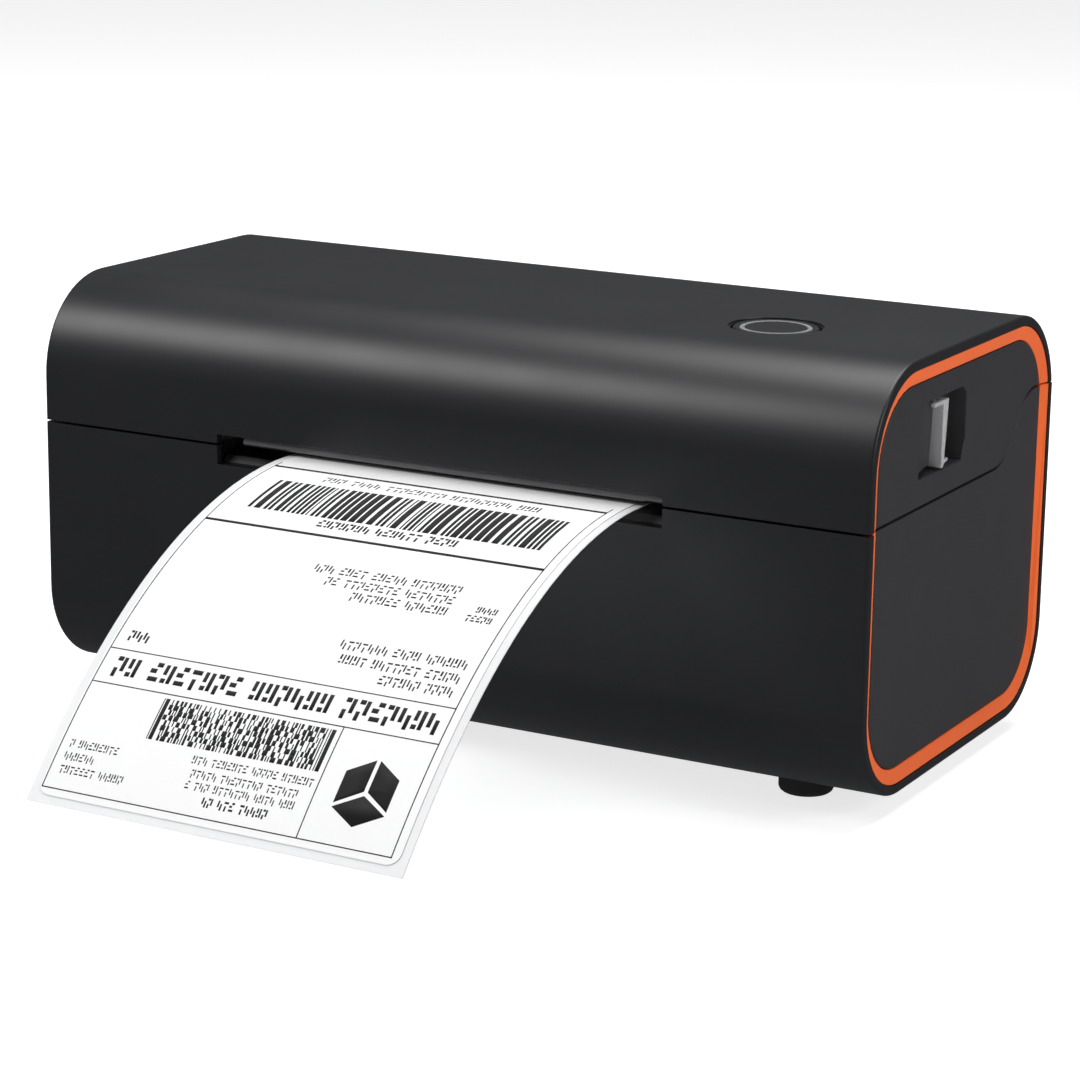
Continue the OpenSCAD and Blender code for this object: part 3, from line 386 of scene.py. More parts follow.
# ---- mesh work ----


@dataclass(frozen=True)
class Corner:
    """A corner of a side outline, in body millimetres, and the radius that rounds it."""

    y: float
    z: float
    radius: float = 0.0


class Work:
    """A mesh in the making, in body millimetres."""

    def __init__(self, name: str) -> None:
        """Starts an empty mesh for a named piece."""
        self.name = name
        self.bm: BMesh = bmesh.new()

    def face(self, corners: Sequence[Corner], x: float, segments: int = 14) -> BMFace:
        """Makes one flat face across X from its corners, and rounds them.

        Args:
            corners: the outline, in order.
            x: where the face stands.
            segments: steps in each rounded corner.

        Returns:
            The rounded face.
        """
        points = [self.bm.verts.new((x, c.y, c.z)) for c in corners]
        old = set(self.bm.faces)
        self.bm.faces.new(points)
        for i, corner in enumerate(corners):
            if corner.radius <= 0.0:
                continue
            before, after = corners[i - 1], corners[(i + 1) % len(corners)]
            one = Vector((before.y - corner.y, before.z - corner.z)).normalized()
            two = Vector((after.y - corner.y, after.z - corner.z)).normalized()
            inside = one.angle(two)
            bmesh.ops.bevel(
                self.bm,
                geom=[points[i]],
                offset=corner.radius / math.tan(inside / 2),
                offset_type="OFFSET",
                affect="VERTICES",
                segments=segments,
                profile=0.5,
                material=-1,
                clamp_overlap=False,
            )
        return next(f for f in self.bm.faces if f not in old)

    def push(self, faces: Iterable[BMFace], move: Vector) -> list[BMVert]:
        """Extrudes faces and moves the new end.

        Args:
            faces: the faces that become a solid.
            move: how far the new end goes.

        Returns:
            The vertices of the new end.
        """
        made = bmesh.ops.extrude_face_region(self.bm, geom=list(faces), use_keep_orig=True)
        ends = [g for g in made["geom"] if isinstance(g, BMVert)]
        bmesh.ops.translate(self.bm, verts=ends, vec=move)
        return ends

    def prism(self, corners: Sequence[Corner], x0: float, x1: float, segments: int = 14) -> None:
        """Makes a solid with a side outline between two places along X."""
        self.push([self.face(corners, x0, segments)], Vector((x1 - x0, 0, 0)))
        self.tidy()

    def block(self, low: Vector, high: Vector) -> None:
        """Makes a box between two corners."""
        made = bmesh.ops.create_cube(self.bm, size=1.0)["verts"]
        bmesh.ops.scale(self.bm, verts=made, vec=high - low)
        bmesh.ops.translate(self.bm, verts=made, vec=(low + high) / 2)

    def rod(self, low: Vector, high: Vector, radius: float, sides: int = 32) -> None:
        """Makes a round bar between two points on a line along one axis."""
        along = high - low
        turn = along.to_track_quat("Z", "Y").to_matrix().to_4x4()
        bmesh.ops.create_cone(
            self.bm,
            cap_ends=True,
            segments=sides,
            radius1=radius,
            radius2=radius,
            depth=along.length,
            matrix=Matrix.Translation((low + high) / 2) @ turn,
        )

    def turned(self, centre: Vector, profile: Sequence[tuple[float, float]], steps: int = 64) -> None:
        """Spins a profile of (radius, height) points round an upright axis."""
        points = [self.bm.verts.new((centre.x + r, centre.y, z)) for r, z in profile]
        edges = [self.bm.edges.new(pair) for pair in zip(points, points[1:])]
        bmesh.ops.spin(
            self.bm,
            geom=points + edges,
            cent=centre,
            axis=(0, 0, 1),
            angle=math.tau,
            steps=steps,
            use_merge=True,
        )
        self.tidy()

    def window(self, low: Vector, high: Vector) -> None:
        """Cuts the faces that a box holds out of a sheet."""
        for axis in range(3):
            for level in (low[axis], high[axis]):
                near = [f for f in self.bm.faces if self._meets(f, low, high)]
                geom = {g for f in near for g in (f, *f.edges, *f.verts)}
                normal = Vector([float(i == axis) for i in range(3)])
                bmesh.ops.bisect_plane(
                    self.bm, geom=list(geom), dist=1e-4, plane_co=normal * level, plane_no=normal
                )
        inside = [f for f in self.bm.faces if self._holds(f.calc_center_median(), low, high)]
        bmesh.ops.delete(self.bm, geom=inside, context="FACES")

    def cut_rear(self, level: float) -> None:
        """Cuts away what hangs below a level at the rear of the body."""
        everything = self.bm.verts[:] + self.bm.edges[:] + self.bm.faces[:]
        bmesh.ops.bisect_plane(
            self.bm, geom=everything, dist=1e-4, plane_co=(0, 0, level), plane_no=(0, 0, 1)
        )
        middles = [(f, f.calc_center_median()) for f in self.bm.faces]
        under = [f for f, at in middles if at.y > BODY.depth / 2 and at.z < level]
        bmesh.ops.delete(self.bm, geom=under, context="FACES")

    @staticmethod
    def _meets(face: BMFace, low: Vector, high: Vector) -> bool:
        """Whether a face's box meets another box."""
        return all(
            min(v.co[i] for v in face.verts) < high[i] + 1e-3
            and max(v.co[i] for v in face.verts) > low[i] - 1e-3
            for i in range(3)
        )

    @staticmethod
    def _holds(point: Vector, low: Vector, high: Vector) -> bool:
        """Whether a box holds a point."""
        return all(low[i] < point[i] < high[i] for i in range(3))

    def round_off(
        self, radius: float, segments: int, chosen: Callable[[BMEdge], bool], sharp: float = 30.0
    ) -> None:
        """Rounds the sharp edges that a rule picks.

        Args:
            radius: width of the rounding.
            segments: steps across it.
            chosen: the rule.
            sharp: least angle between the edge's faces, in degrees.
        """
        limit = math.radians(sharp)
        edges = [
            e for e in self.bm.edges if e.is_manifold and e.calc_face_angle(0.0) > limit and chosen(e)
        ]
        bmesh.ops.bevel(
            self.bm,
            geom=edges,
            offset=radius,
            offset_type="OFFSET",
            affect="EDGES",
            segments=segments,
            profile=0.5,
            material=-1,
            clamp_overlap=False,
        )

    def tidy(self) -> None:
        """Merges doubles and turns the faces outwards."""
        bmesh.ops.remove_doubles(self.bm, verts=self.bm.verts[:], dist=1e-4)
        bmesh.ops.recalc_face_normals(self.bm, faces=self.bm.faces[:])

    def mirrored(self) -> None:
        """Turns the piece into its twin on the other side."""
        bmesh.ops.scale(self.bm, verts=self.bm.verts[:], vec=(-1, 1, 1))
        bmesh.ops.reverse_faces(self.bm, faces=self.bm.faces[:])

    def finished(self, angle: float = 0.0, metres: bool = False) -> bpy.types.Object:
        """Turns the work into an object at the frame's origin.

        Args:
            angle: edges over this many degrees stay sharp in shading; nought smooths all.
            metres: whether the mesh is in the frame's metres already.

        Returns:
            The piece, smooth and with weighted normals.
        """
        if not metres:
            bmesh.ops.scale(self.bm, verts=self.bm.verts[:], vec=(MM, MM, MM))
            bmesh.ops.translate(self.bm, verts=self.bm.verts[:], vec=SHIFT)
        mesh = bpy.data.meshes.new(self.name)
        self.bm.to_mesh(mesh)
        self.bm.free()
        mesh.shade_smooth()
        if angle > 0.0:
            mesh.set_sharp_from_angle(angle=math.radians(angle))
        piece = bpy.data.objects.new(self.name, mesh)
        bpy.context.scene.collection.objects.link(piece)
        weigh = piece.modifiers.new("weighted", "WEIGHTED_NORMAL")
        weigh.keep_sharp = True
        weigh.weight = 90
        return piece


class Copied(Work):
    """Work that starts from a merged copy of a CAD node's own shape."""

    def __init__(self, node: str, name: str) -> None:
        """Copies, merges and simplifies a node's mesh, in millimetres."""
        super().__init__(name)
        self.bm.from_mesh(frame["nodes"][node].data)
        bmesh.ops.translate(self.bm, verts=self.bm.verts[:], vec=-SHIFT)
        bmesh.ops.scale(self.bm, verts=self.bm.verts[:], vec=(1 / MM, 1 / MM, 1 / MM))
        bmesh.ops.remove_doubles(self.bm, verts=self.bm.verts[:], dist=2e-3)
        bmesh.ops.dissolve_limit(
            self.bm,
            angle_limit=math.radians(0.6),
            verts=self.bm.verts[:],
            edges=self.bm.edges[:],
            use_dissolve_boundaries=False,
        )


@dataclass(frozen=True)
class Placing:
    """Where a piece belongs: its body, its slot, the CAD nodes it stands for, and its finish.

    The finish is the slot's own unless another is named.
    """

    body: str
    slot: str
    nodes: tuple[str, ...]
    finish: str = ""


def settle(piece: bpy.types.Object, placing: Placing, palette: Palette) -> bpy.types.Object:
    """Dresses a piece, rides it on its body and hides the CAD nodes it replaces.

    Args:
        piece: the finished piece.
        placing: its body, slot and nodes.
        palette: the finishes.

    Returns:
        The same piece.
    """
    palette.dress(piece, placing.finish or placing.slot)
    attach(piece, placing.body)
    if placing.nodes:
        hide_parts(*placing.nodes)
    LOG.info("%s rides on %s, %d faces", piece.name, placing.body, len(piece.data.polygons))
    return piece


# ---- shells and side dressing ----


class Side(Enum):
    """Which end of the body a piece belongs to."""

    RIGHT = "right"
    LEFT = "left"


@dataclass(frozen=True)
class Body:
    """Sizes that the shells, trims and panels share, in millimetres."""

    half_w: float = 110.0
    depth: float = 109.0
    height: float = 99.0
    wall: float = 2.3
    low_front_r: float = 22.5
    low_rear_r: float = 21.5
    top_front_r: float = 23.5
    top_rear_r: float = 23.0
    seam_low: float = 64.3
    seam_high: float = 79.8
    seam_foot_y: float = 81.5
    seam_head_y: float = 94.232
    seam_foot_r: float = 13.8
    seam_head_r: float = 11.6
    gap: float = 0.3
    slot_left: float = -59.2
    slot_right: float = 59.9
    hinge_y: float = 108.2
    hinge_z: float = 80.2
    knuckle_r: float = 2.4

    def lower_path(self, inset: float, gap: float) -> list[Corner]:
        """Corners from the seam at the front, under the body, to the seam at the rear."""
        rear = self.depth - inset
        return [
            Corner(inset, self.seam_low - gap),
            Corner(inset, inset, self.low_front_r - inset),
            Corner(rear, inset, self.low_rear_r - inset),
            Corner(rear, self.seam_high - gap),
        ]

    def upper_path(self, inset: float, gap: float) -> list[Corner]:
        """Corners from under the seam at the rear, over the body, to the seam at the front.

        The rear curve starts below the seam, so what is made from this path is cut there.
        """
        rear, top = self.depth - inset, self.height - inset
        return [
            Corner(rear, self.seam_high - 10.0),
            Corner(rear, top, self.top_rear_r - inset),
            Corner(inset, top, self.top_front_r - inset),
            Corner(inset, self.seam_low + gap),
        ]

    def seam(self, gap: float) -> list[Corner]:
        """The two bends of the side seam, from rear to front."""
        return [
            Corner(self.seam_head_y, self.seam_high + gap, self.seam_head_r),
            Corner(self.seam_foot_y, self.seam_low + gap, self.seam_foot_r),
        ]

    def below(self, inset: float, gap: float) -> list[Corner]:
        """Side outline of what lies under the seam."""
        return self.lower_path(inset, gap) + self.seam(-gap)

    def above(self, inset: float, gap: float) -> list[Corner]:
        """Side outline of a hidden wall over the seam, its rear curve drawn in to fit."""
        rear, top, level = self.depth - inset, self.height - inset, self.seam_high + gap
        ends = [Corner(rear, level), Corner(rear, top, top - level - 0.1)]
        return ends + self.upper_path(inset, gap)[2:] + self.seam(gap)[::-1]

    def depth_in(self, y: float, z: float) -> float:
        """How far a point of the side lies inside the body's outline."""
        rear, top = y > self.depth / 2, z > self.height / 2
        radius = {
            (False, False): self.low_front_r,
            (True, False): self.low_rear_r,
            (False, True): self.top_front_r,
            (True, True): self.top_rear_r,
        }[(rear, top)]
        out_y = (y - self.depth + radius) if rear else (radius - y)
        out_z = (z - self.height + radius) if top else (radius - z)
        if out_y > 0 and out_z > 0:
            return radius - math.hypot(out_y, out_z)
        return min(y, self.depth - y, z, self.height - z)


BODY = Body()


class Shell(Work):
    """A shell bent from one sheet that follows part of the body's outline."""

    def bend(self, path: Sequence[Corner]) -> None:
        """Draws the sheet along X from an open path of corners."""
        self.face(path, -BODY.half_w, segments=20)
        ends = [
            v
            for v in self.bm.verts
            for c in (path[0], path[-1])
            if math.hypot(v.co.y - c.y, v.co.z - c.z) < 1e-4
        ]
        bmesh.ops.delete(self.bm, geom=self.bm.faces[:], context="FACES_ONLY")
        bmesh.ops.delete(self.bm, geom=[self.bm.edges.get(ends)], context="EDGES")
        made = bmesh.ops.extrude_edge_only(self.bm, edges=self.bm.edges[:])["geom"]
        far = [g for g in made if isinstance(g, BMVert)]
        bmesh.ops.translate(self.bm, verts=far, vec=(2 * BODY.half_w, 0, 0))
        self.tidy()

    def thicken(self) -> None:
        """Gives the sheet its wall, and rounds the rims and lips."""
        bmesh.ops.solidify(self.bm, geom=self.bm.faces[:], thickness=BODY.wall)
        bmesh.ops.recalc_face_normals(self.bm, faces=self.bm.faces[:])
        end = BODY.half_w - 0.01
        self.round_off(0.8, 4, lambda e: self._at_rim(e, end) and self._outer(e))
        self.round_off(0.22, 2, lambda e: e.is_convex and self._outer(e) and self._plain(e, end))

    @staticmethod
    def _at_rim(edge: BMEdge, end: float) -> bool:
        """Whether an edge runs along an open end of the shell."""
        return all(abs(v.co.x) > end for v in edge.verts)

    @staticmethod
    def _outer(edge: BMEdge) -> bool:
        """Whether an edge lies on the outside of the shell."""
        return all(BODY.depth_in(v.co.y, v.co.z) < 0.05 for v in edge.verts)

    @staticmethod
    def _plain(edge: BMEdge, end: float) -> bool:
        """Whether an edge keeps clear of the rounded rims."""
        return all(abs(v.co.x) < end - 1.0 for v in edge.verts)


@dataclass
class Casing:
    """The lower shell, with its slots, rear openings, end walls and hinge knuckles."""

    end_wall: tuple[float, float] = (105.0, 107.0)
    knuckles: tuple[float, float] = (50.0, 60.0)
    slot_rise: tuple[float, float] = (59.5, 70)
    media_hole: tuple[float, ...] = (-60, 60, 62, 72)
    power_hole: tuple[float, ...] = (7.4, 16.6, 20.6, 31.8)
    data_hole: tuple[float, ...] = (29.8, 42.2, 20.6, 31.8)
    switch_hole: tuple[float, ...] = (77.4, 90.6, 28.4, 47.6)
    hinge_holes: tuple[tuple[float, ...], ...] = ((39.7, 50, 77.2, 90), (-50, -39.7, 77.2, 90))
    service_hole: tuple[float, ...] = (-76, 76, 26, 84)
    louvres: int = 7
    louvre_first: float = -92
    louvre_pitch: float = 5
    louvre_width: float = 2
    louvre_rise: tuple[float, float] = (28, 52)
    post_x: float = 80
    post_places: tuple[float, float] = (36, 74)
    post_rise: tuple[float, float] = (2, 7.3)
    post_r: float = 3.4

    def build(self) -> bpy.types.Object:
        """Makes the shell."""
        work = Shell("casing_shell")
        work.bend(BODY.lower_path(0.0, BODY.gap))
        low, high = self.slot_rise
        work.window(Vector((BODY.slot_left, -1, low)), Vector((BODY.slot_right, 1, high)))
        rear = (BODY.depth - 1, BODY.depth + 1)
        holes = [self.media_hole, self.power_hole, self.data_hole, self.switch_hole]
        starts = [self.louvre_first + i * self.louvre_pitch for i in range(self.louvres)]
        holes += [(x, x + self.louvre_width, *self.louvre_rise) for x in starts]
        holes += list(self.hinge_holes)
        for x0, x1, z0, z1 in holes:
            work.window(Vector((x0, rear[0], z0)), Vector((x1, rear[1], z1)))
        left, right, front, back = self.service_hole
        work.window(Vector((left, front, -1)), Vector((right, back, 1)))
        work.thicken()
        self._inside(work)
        return work.finished(40.0)

    def _inside(self, work: Work) -> None:
        """Adds the end walls, the knuckles, and the posts on the floor."""
        for sign in (-1, 1):
            work.prism(BODY.below(3.5, BODY.gap), sign * self.end_wall[0], sign * self.end_wall[1])
            hinge = [Vector((sign * x, BODY.hinge_y, BODY.hinge_z)) for x in self.knuckles]
            work.rod(hinge[0], hinge[1], BODY.knuckle_r)
            for y in self.post_places:
                ends = [Vector((sign * self.post_x, y, z)) for z in self.post_rise]
                work.rod(ends[0], ends[1], self.post_r)


@dataclass
class Cover:
    """The upper shell, with its button hole, ribs, end walls and hinge knuckles."""

    button: Vector
    hole_r: float = 10.6
    dish_r: float = 11.0
    dish: float = 0.5
    patch: float = 14.0
    cuts: int = 13

    def build(self) -> bpy.types.Object:
        """Makes the shell."""
        work = Shell("cover_shell")
        work.bend(BODY.upper_path(0.0, BODY.gap))
        work.cut_rear(BODY.seam_high + BODY.gap)
        work.window(Vector((BODY.slot_left, -1, 60)), Vector((BODY.slot_right, 1, 66.7)))
        for x0, x1 in ((49.7, 60.3), (-60.3, -49.7)):
            work.window(Vector((x0, 106, 70)), Vector((x1, 111, 83)))
        self._button_hole(work)
        work.thicken()
        self._inside(work)
        return work.finished(40.0)

    def _button_hole(self, work: Work) -> None:
        """Opens the roof for the button, with a shallow dish round it."""
        reach = Vector((self.patch, self.patch, 1))
        work.window(self.button - reach, self.button + reach)
        rim = [
            e
            for e in work.bm.edges
            if e.is_boundary and all(self._near(v.co, reach.x + 0.01) for v in e.verts)
        ]
        bmesh.ops.subdivide_edges(work.bm, edges=rim, cuts=self.cuts)
        rim = [
            e
            for e in work.bm.edges
            if e.is_boundary and all(self._near(v.co, reach.x + 0.01) for v in e.verts)
        ]
        ring = bmesh.ops.create_circle(
            work.bm,
            segments=4 * (self.cuts + 1),
            radius=self.dish_r,
            matrix=Matrix.Translation(self.button) @ Matrix.Rotation(math.radians(45), 4, "Z"),
        )["verts"]
        edges = list({e for v in ring for e in v.link_edges})
        bmesh.ops.bridge_loops(work.bm, edges=rim + edges)
        for scale, drop in ((1.0, self.dish), (self.hole_r / self.dish_r, 0.0), (1.0, 4.6)):
            made = bmesh.ops.extrude_edge_only(work.bm, edges=edges)["geom"]
            verts = [g for g in made if isinstance(g, BMVert)]
            edges = [g for g in made if isinstance(g, BMEdge)]
            edges = [e for e in edges if all(v in set(verts) for v in e.verts)]
            space = Matrix.Translation(-self.button)
            bmesh.ops.scale(work.bm, verts=verts, vec=(scale, scale, 1.0), space=space)
            bmesh.ops.translate(work.bm, verts=verts, vec=(0, 0, -drop))
        work.tidy()

    def _near(self, point: Vector, reach: float) -> bool:
        """Whether a point of the roof lies on the patch round the button."""
        off = point - self.button
        return abs(off.x) < reach and abs(off.y) < reach and abs(off.z) < 0.01

    def _inside(self, work: Work) -> None:
        """Adds the end walls, the knuckles, the posts and the stiffening ribs."""
        for sign in (-1, 1):
            wall = Shell("end_wall")
            wall.prism(BODY.above(3.5, BODY.gap), sign * 105.0, sign * 107.0)
            wall.window(Vector((sign * 106 - 3, 26.9, 69.2)), Vector((sign * 106 + 3, 56.8, 89.4)))
            rims = [e for e in wall.bm.edges if e.is_boundary]
            bmesh.ops.bridge_loops(wall.bm, edges=rims)
            wall.tidy()
            mesh = bpy.data.meshes.new("end_wall")
            wall.bm.to_mesh(mesh)
            wall.bm.free()
            work.bm.from_mesh(mesh)
            bpy.data.meshes.remove(mesh)
            hinge = [Vector((sign * x, BODY.hinge_y, BODY.hinge_z)) for x in (40.0, 49.7)]
            work.rod(hinge[0], hinge[1], BODY.knuckle_r)
        for x, y in ((-70, 56), (20, 56), (70, 60)):
            work.rod(Vector((x, y, 88)), Vector((x, y, 97.5)), 3.2)
        for x in (-84, -28, 28, 84):
            work.block(Vector((x - 0.8, 26, 94.5)), Vector((x + 0.8, 86, 97.5)))


@dataclass
class SideDressing:
    """The grey panels and the coloured rings round them, at one end of the body."""

    side: Side
    outer: float = 2.45
    inner: float = 5.9
    panel_edge: float = 6.05
    pocket_x: float = 107.0
    panel_x: float = 109.0
    ring_x: float = 109.8
    slope: float = 0.95

    def _ready(self, work: Work, angle: float = 40.0) -> bpy.types.Object:
        """Mirrors the work if it is for the left end, and finishes it."""
        if self.side is Side.LEFT:
            work.mirrored()
        return work.finished(angle)

    def ring(self, lower: bool) -> bpy.types.Object:
        """Makes half of the ring, its face sloping in towards the panel."""
        path = BODY.lower_path if lower else BODY.upper_path
        gap = BODY.gap / 2
        word = "lower" if lower else "upper"
        work = Work(f"trim_ring_{word}_{self.side.value}")
        corners = path(self.outer, gap) + path(self.inner, gap)[::-1]
        work.face(corners, self.pocket_x, segments=20)
        if not lower:
            work.cut_rear(BODY.seam_high + gap)
        for v in work.push(work.bm.faces[:], Vector((self.ring_x - self.pocket_x, 0, 0))):
            share = (BODY.depth_in(v.co.y, v.co.z) - self.outer) / (self.inner - self.outer)
            v.co.x -= self.slope * share
        work.tidy()
        work.round_off(0.3, 2, lambda e: min(v.co.x for v in e.verts) > self.pocket_x + 1)
        return self._ready(work)

    def lower_panel(self) -> bpy.types.Object:
        """Makes the lower panel."""
        work = Work(f"side_panel_lower_{self.side.value}")
        work.prism(BODY.below(self.panel_edge, BODY.gap), self.pocket_x, self.panel_x, segments=20)
        work.round_off(0.35, 3, lambda e: min(v.co.x for v in e.verts) > self.panel_x - 0.1)
        return self._ready(work)

    def upper_panel(self) -> bpy.types.Object:
        """Makes the upper panel, with the pocket and the finger ramp of the lever."""
        work = Copied("upper_side_panel_right", f"side_panel_upper_{self.side.value}")
        work.round_off(
            0.3,
            3,
            lambda e: e.is_convex
            and min(v.co.x for v in e.verts) > self.panel_x - 0.02
            and e.calc_length() > 0.3,
        )
        return self._ready(work)


@dataclass
class ReleaseLever:
    """One lever: an upright blade with a flange on top and a small foot behind it."""

    side: Side
    softness: float = 0.22

    def build(self) -> bpy.types.Object:
        """Makes the lever from the shape of its solid, with every edge eased."""
        work = Copied("latch_lever_right", f"release_lever_{self.side.value}")
        work.round_off(self.softness, 2, lambda e: e.is_convex and e.calc_length() > 0.55, 40.0)
        if self.side is Side.LEFT:
            work.mirrored()
        return work.finished(45.0)


@dataclass
class FeedButton:
    """The round feed button, with a groove that holds its light ring.

    Profiles run from the middle outwards over the top, then back underneath.
    """

    centre: Vector
    smooth_angle: float = 50.0

    def cap(self) -> bpy.types.Object:
        """Makes the cap, slightly hollow in the middle."""
        work = Work("feed_button_cap")
        profile = [(0.0, 98.46), (2.4, 98.48), (4.6, 98.56), (6.4, 98.68)]
        profile += [(7.0, 98.74), (7.18, 98.66)]
        profile += [(7.2, 98.15), (8.5, 98.15), (8.52, 98.66), (8.7, 98.75), (9.5, 98.74)]
        profile += [(9.85, 98.64), (10.05, 98.42), (10.1, 98.1), (10.1, 94.2), (8.7, 94.2)]
        profile += [(8.7, 96.9), (2.0, 96.9), (2.0, 94.0), (0.0, 94.0)]
        work.turned(self.centre, profile)
        return work.finished(self.smooth_angle)

    def ring(self) -> bpy.types.Object:
        """Makes the light ring."""
        work = Work("button_ring")
        profile = [(7.27, 98.2), (7.27, 98.6), (7.42, 98.7), (8.28, 98.7), (8.43, 98.6)]
        profile += [(8.43, 98.2), (7.27, 98.2)]
        work.turned(self.centre, profile)
        return work.finished(self.smooth_angle)


@dataclass
class Feet:
    """Four moulded feet with a rounded tread."""

    places: tuple[tuple[float, float], ...] = ((-86, 25), (86, 25), (-86, 84), (86, 84))

    def build(self) -> bpy.types.Object:
        """Makes the feet as one piece."""
        work = Work("feet")
        profile = [(0.0, -4.2), (2.2, -4.2), (2.5, -4.05), (2.8, -4.2), (4.9, -4.2), (5.6, -4.06)]
        profile += [(6.1, -3.66), (6.36, -3.1), (6.4, -2.4), (6.4, 1.2), (0.0, 1.2)]
        for x, y in self.places:
            work.turned(Vector((x, y, 0)), profile, steps=40)
        return work.finished(40.0)


# ---- label stock and its print ----


@dataclass
class LabelStock:
    """Backing strip and labels that run level through the printer and hang from the slot."""

    left: float = -39.9
    width: float = 94.3
    out: float = 119.0
    inside: float = 103.0
    under_z: float = 63.36
    backing: float = 0.22
    face: float = 0.16
    steps: int = 34
    bend_rate: float = 0.62
    bend_ease: float = 0.0017
    margin: float = 2.0
    corner: float = 3.0
    first: float = 150.0
    between: float = 3.0

    def _station(self, index: int) -> tuple[Vector, float]:
        """Place and droop, in radians, at one station of the hanging part."""
        step = self.out / self.steps
        spot = Vector((0.0, 0.0, self.under_z))
        for i in range(index):
            way = math.radians(self._droop((i + 0.5) * step))
            spot -= Vector((0.0, math.cos(way), math.sin(way))) * step
        return spot, math.radians(self._droop(index * step))

    def _droop(self, along: float) -> float:
        """Droop in degrees at a length from the slot."""
        return self.bend_rate * along - self.bend_ease * along * along

    def hang(self, work: Work, height: float) -> None:
        """Bends flat work, X across and Y along from the slot, to the strip's shape.

        Args:
            work: flat work, in millimetres.
            height: how far it lies above the strip's underside.
        """
        step = self.out / self.steps
        for i in range(self.steps + 1):
            bmesh.ops.bisect_plane(
                work.bm,
                geom=work.bm.verts[:] + work.bm.edges[:] + work.bm.faces[:],
                dist=1e-5,
                plane_co=(0, i * step, 0),
                plane_no=(0, 1, 0),
            )
        stations = [self._station(i) for i in range(self.steps + 1)]
        for v in work.bm.verts:
            along = v.co.y
            if along <= 0.0:
                v.co = Vector((v.co.x, -along, self.under_z + height))
                continue
            i = min(int(along / step + 1e-6), self.steps - 1)
            share = along / step - i
            ends = [
                spot + Vector((0.0, -math.sin(a), math.cos(a))) * height
                for spot, a in stations[i : i + 2]
            ]
            both = ends[0].lerp(ends[1], share)
            v.co = Vector((v.co.x, both.y, both.z))

    def _flat(self, work: Work, x: tuple[float, float], s: tuple[float, float], radius: float) -> None:
        """Draws a flat rectangle with rounded corners, face up."""
        corners = [
            Corner(x[0], s[0], radius),
            Corner(x[0], s[1], radius),
            Corner(x[1], s[1], radius),
            Corner(x[1], s[0], radius),
        ]
        work.face(corners, 0.0, segments=6)

    def _lay(self, work: Work, height: float, thick: float) -> bpy.types.Object:
        """Turns outlines that stand across X into flat work, hangs it and gives it a thickness."""
        turn = Matrix(((0, 1, 0), (0, 0, 1), (1, 0, 0)))
        bmesh.ops.transform(work.bm, matrix=turn.to_4x4(), verts=work.bm.verts[:])
        uv = work.bm.loops.layers.uv.new("flat")
        for loop in (one for f in work.bm.faces for one in f.loops):
            across, along = loop.vert.co.x - self.left, loop.vert.co.y + self.inside
            loop[uv].uv = (across / self.width, along / (self.out + self.inside))
        self.hang(work, height)
        for f in work.bm.faces:
            f.normal_update()
            if f.normal.z < 0:
                f.normal_flip()
        piece = work.finished(0.0)
        wall = piece.modifiers.new("thickness", "SOLIDIFY")
        wall.thickness = thick * MM
        wall.offset = -1.0
        piece.modifiers.move(len(piece.modifiers) - 1, 0)
        return piece

    def strip(self) -> bpy.types.Object:
        """Makes the backing strip."""
        work = Work("label_backing")
        right = self.left + self.width
        self._flat(work, (self.left, right), (-self.inside, self.out), 0.4)
        return self._lay(work, self.backing, self.backing - 0.02)

    def labels(self) -> bpy.types.Object:
        """Makes the label that hangs out and the next one behind it."""
        work = Work("labels")
        sides = (self.left + self.margin, self.left + self.width - self.margin)
        end = self.out - self.margin
        self._flat(work, sides, (end - self.first, end), self.corner)
        self._flat(work, sides, (-self.inside, end - self.first - self.between), self.corner)
        return self._lay(work, self.backing + self.face, self.face - 0.02)


class Weight(Enum):
    """How heavy a line of print is."""

    THIN = 0.27
    BOLD = 0.36


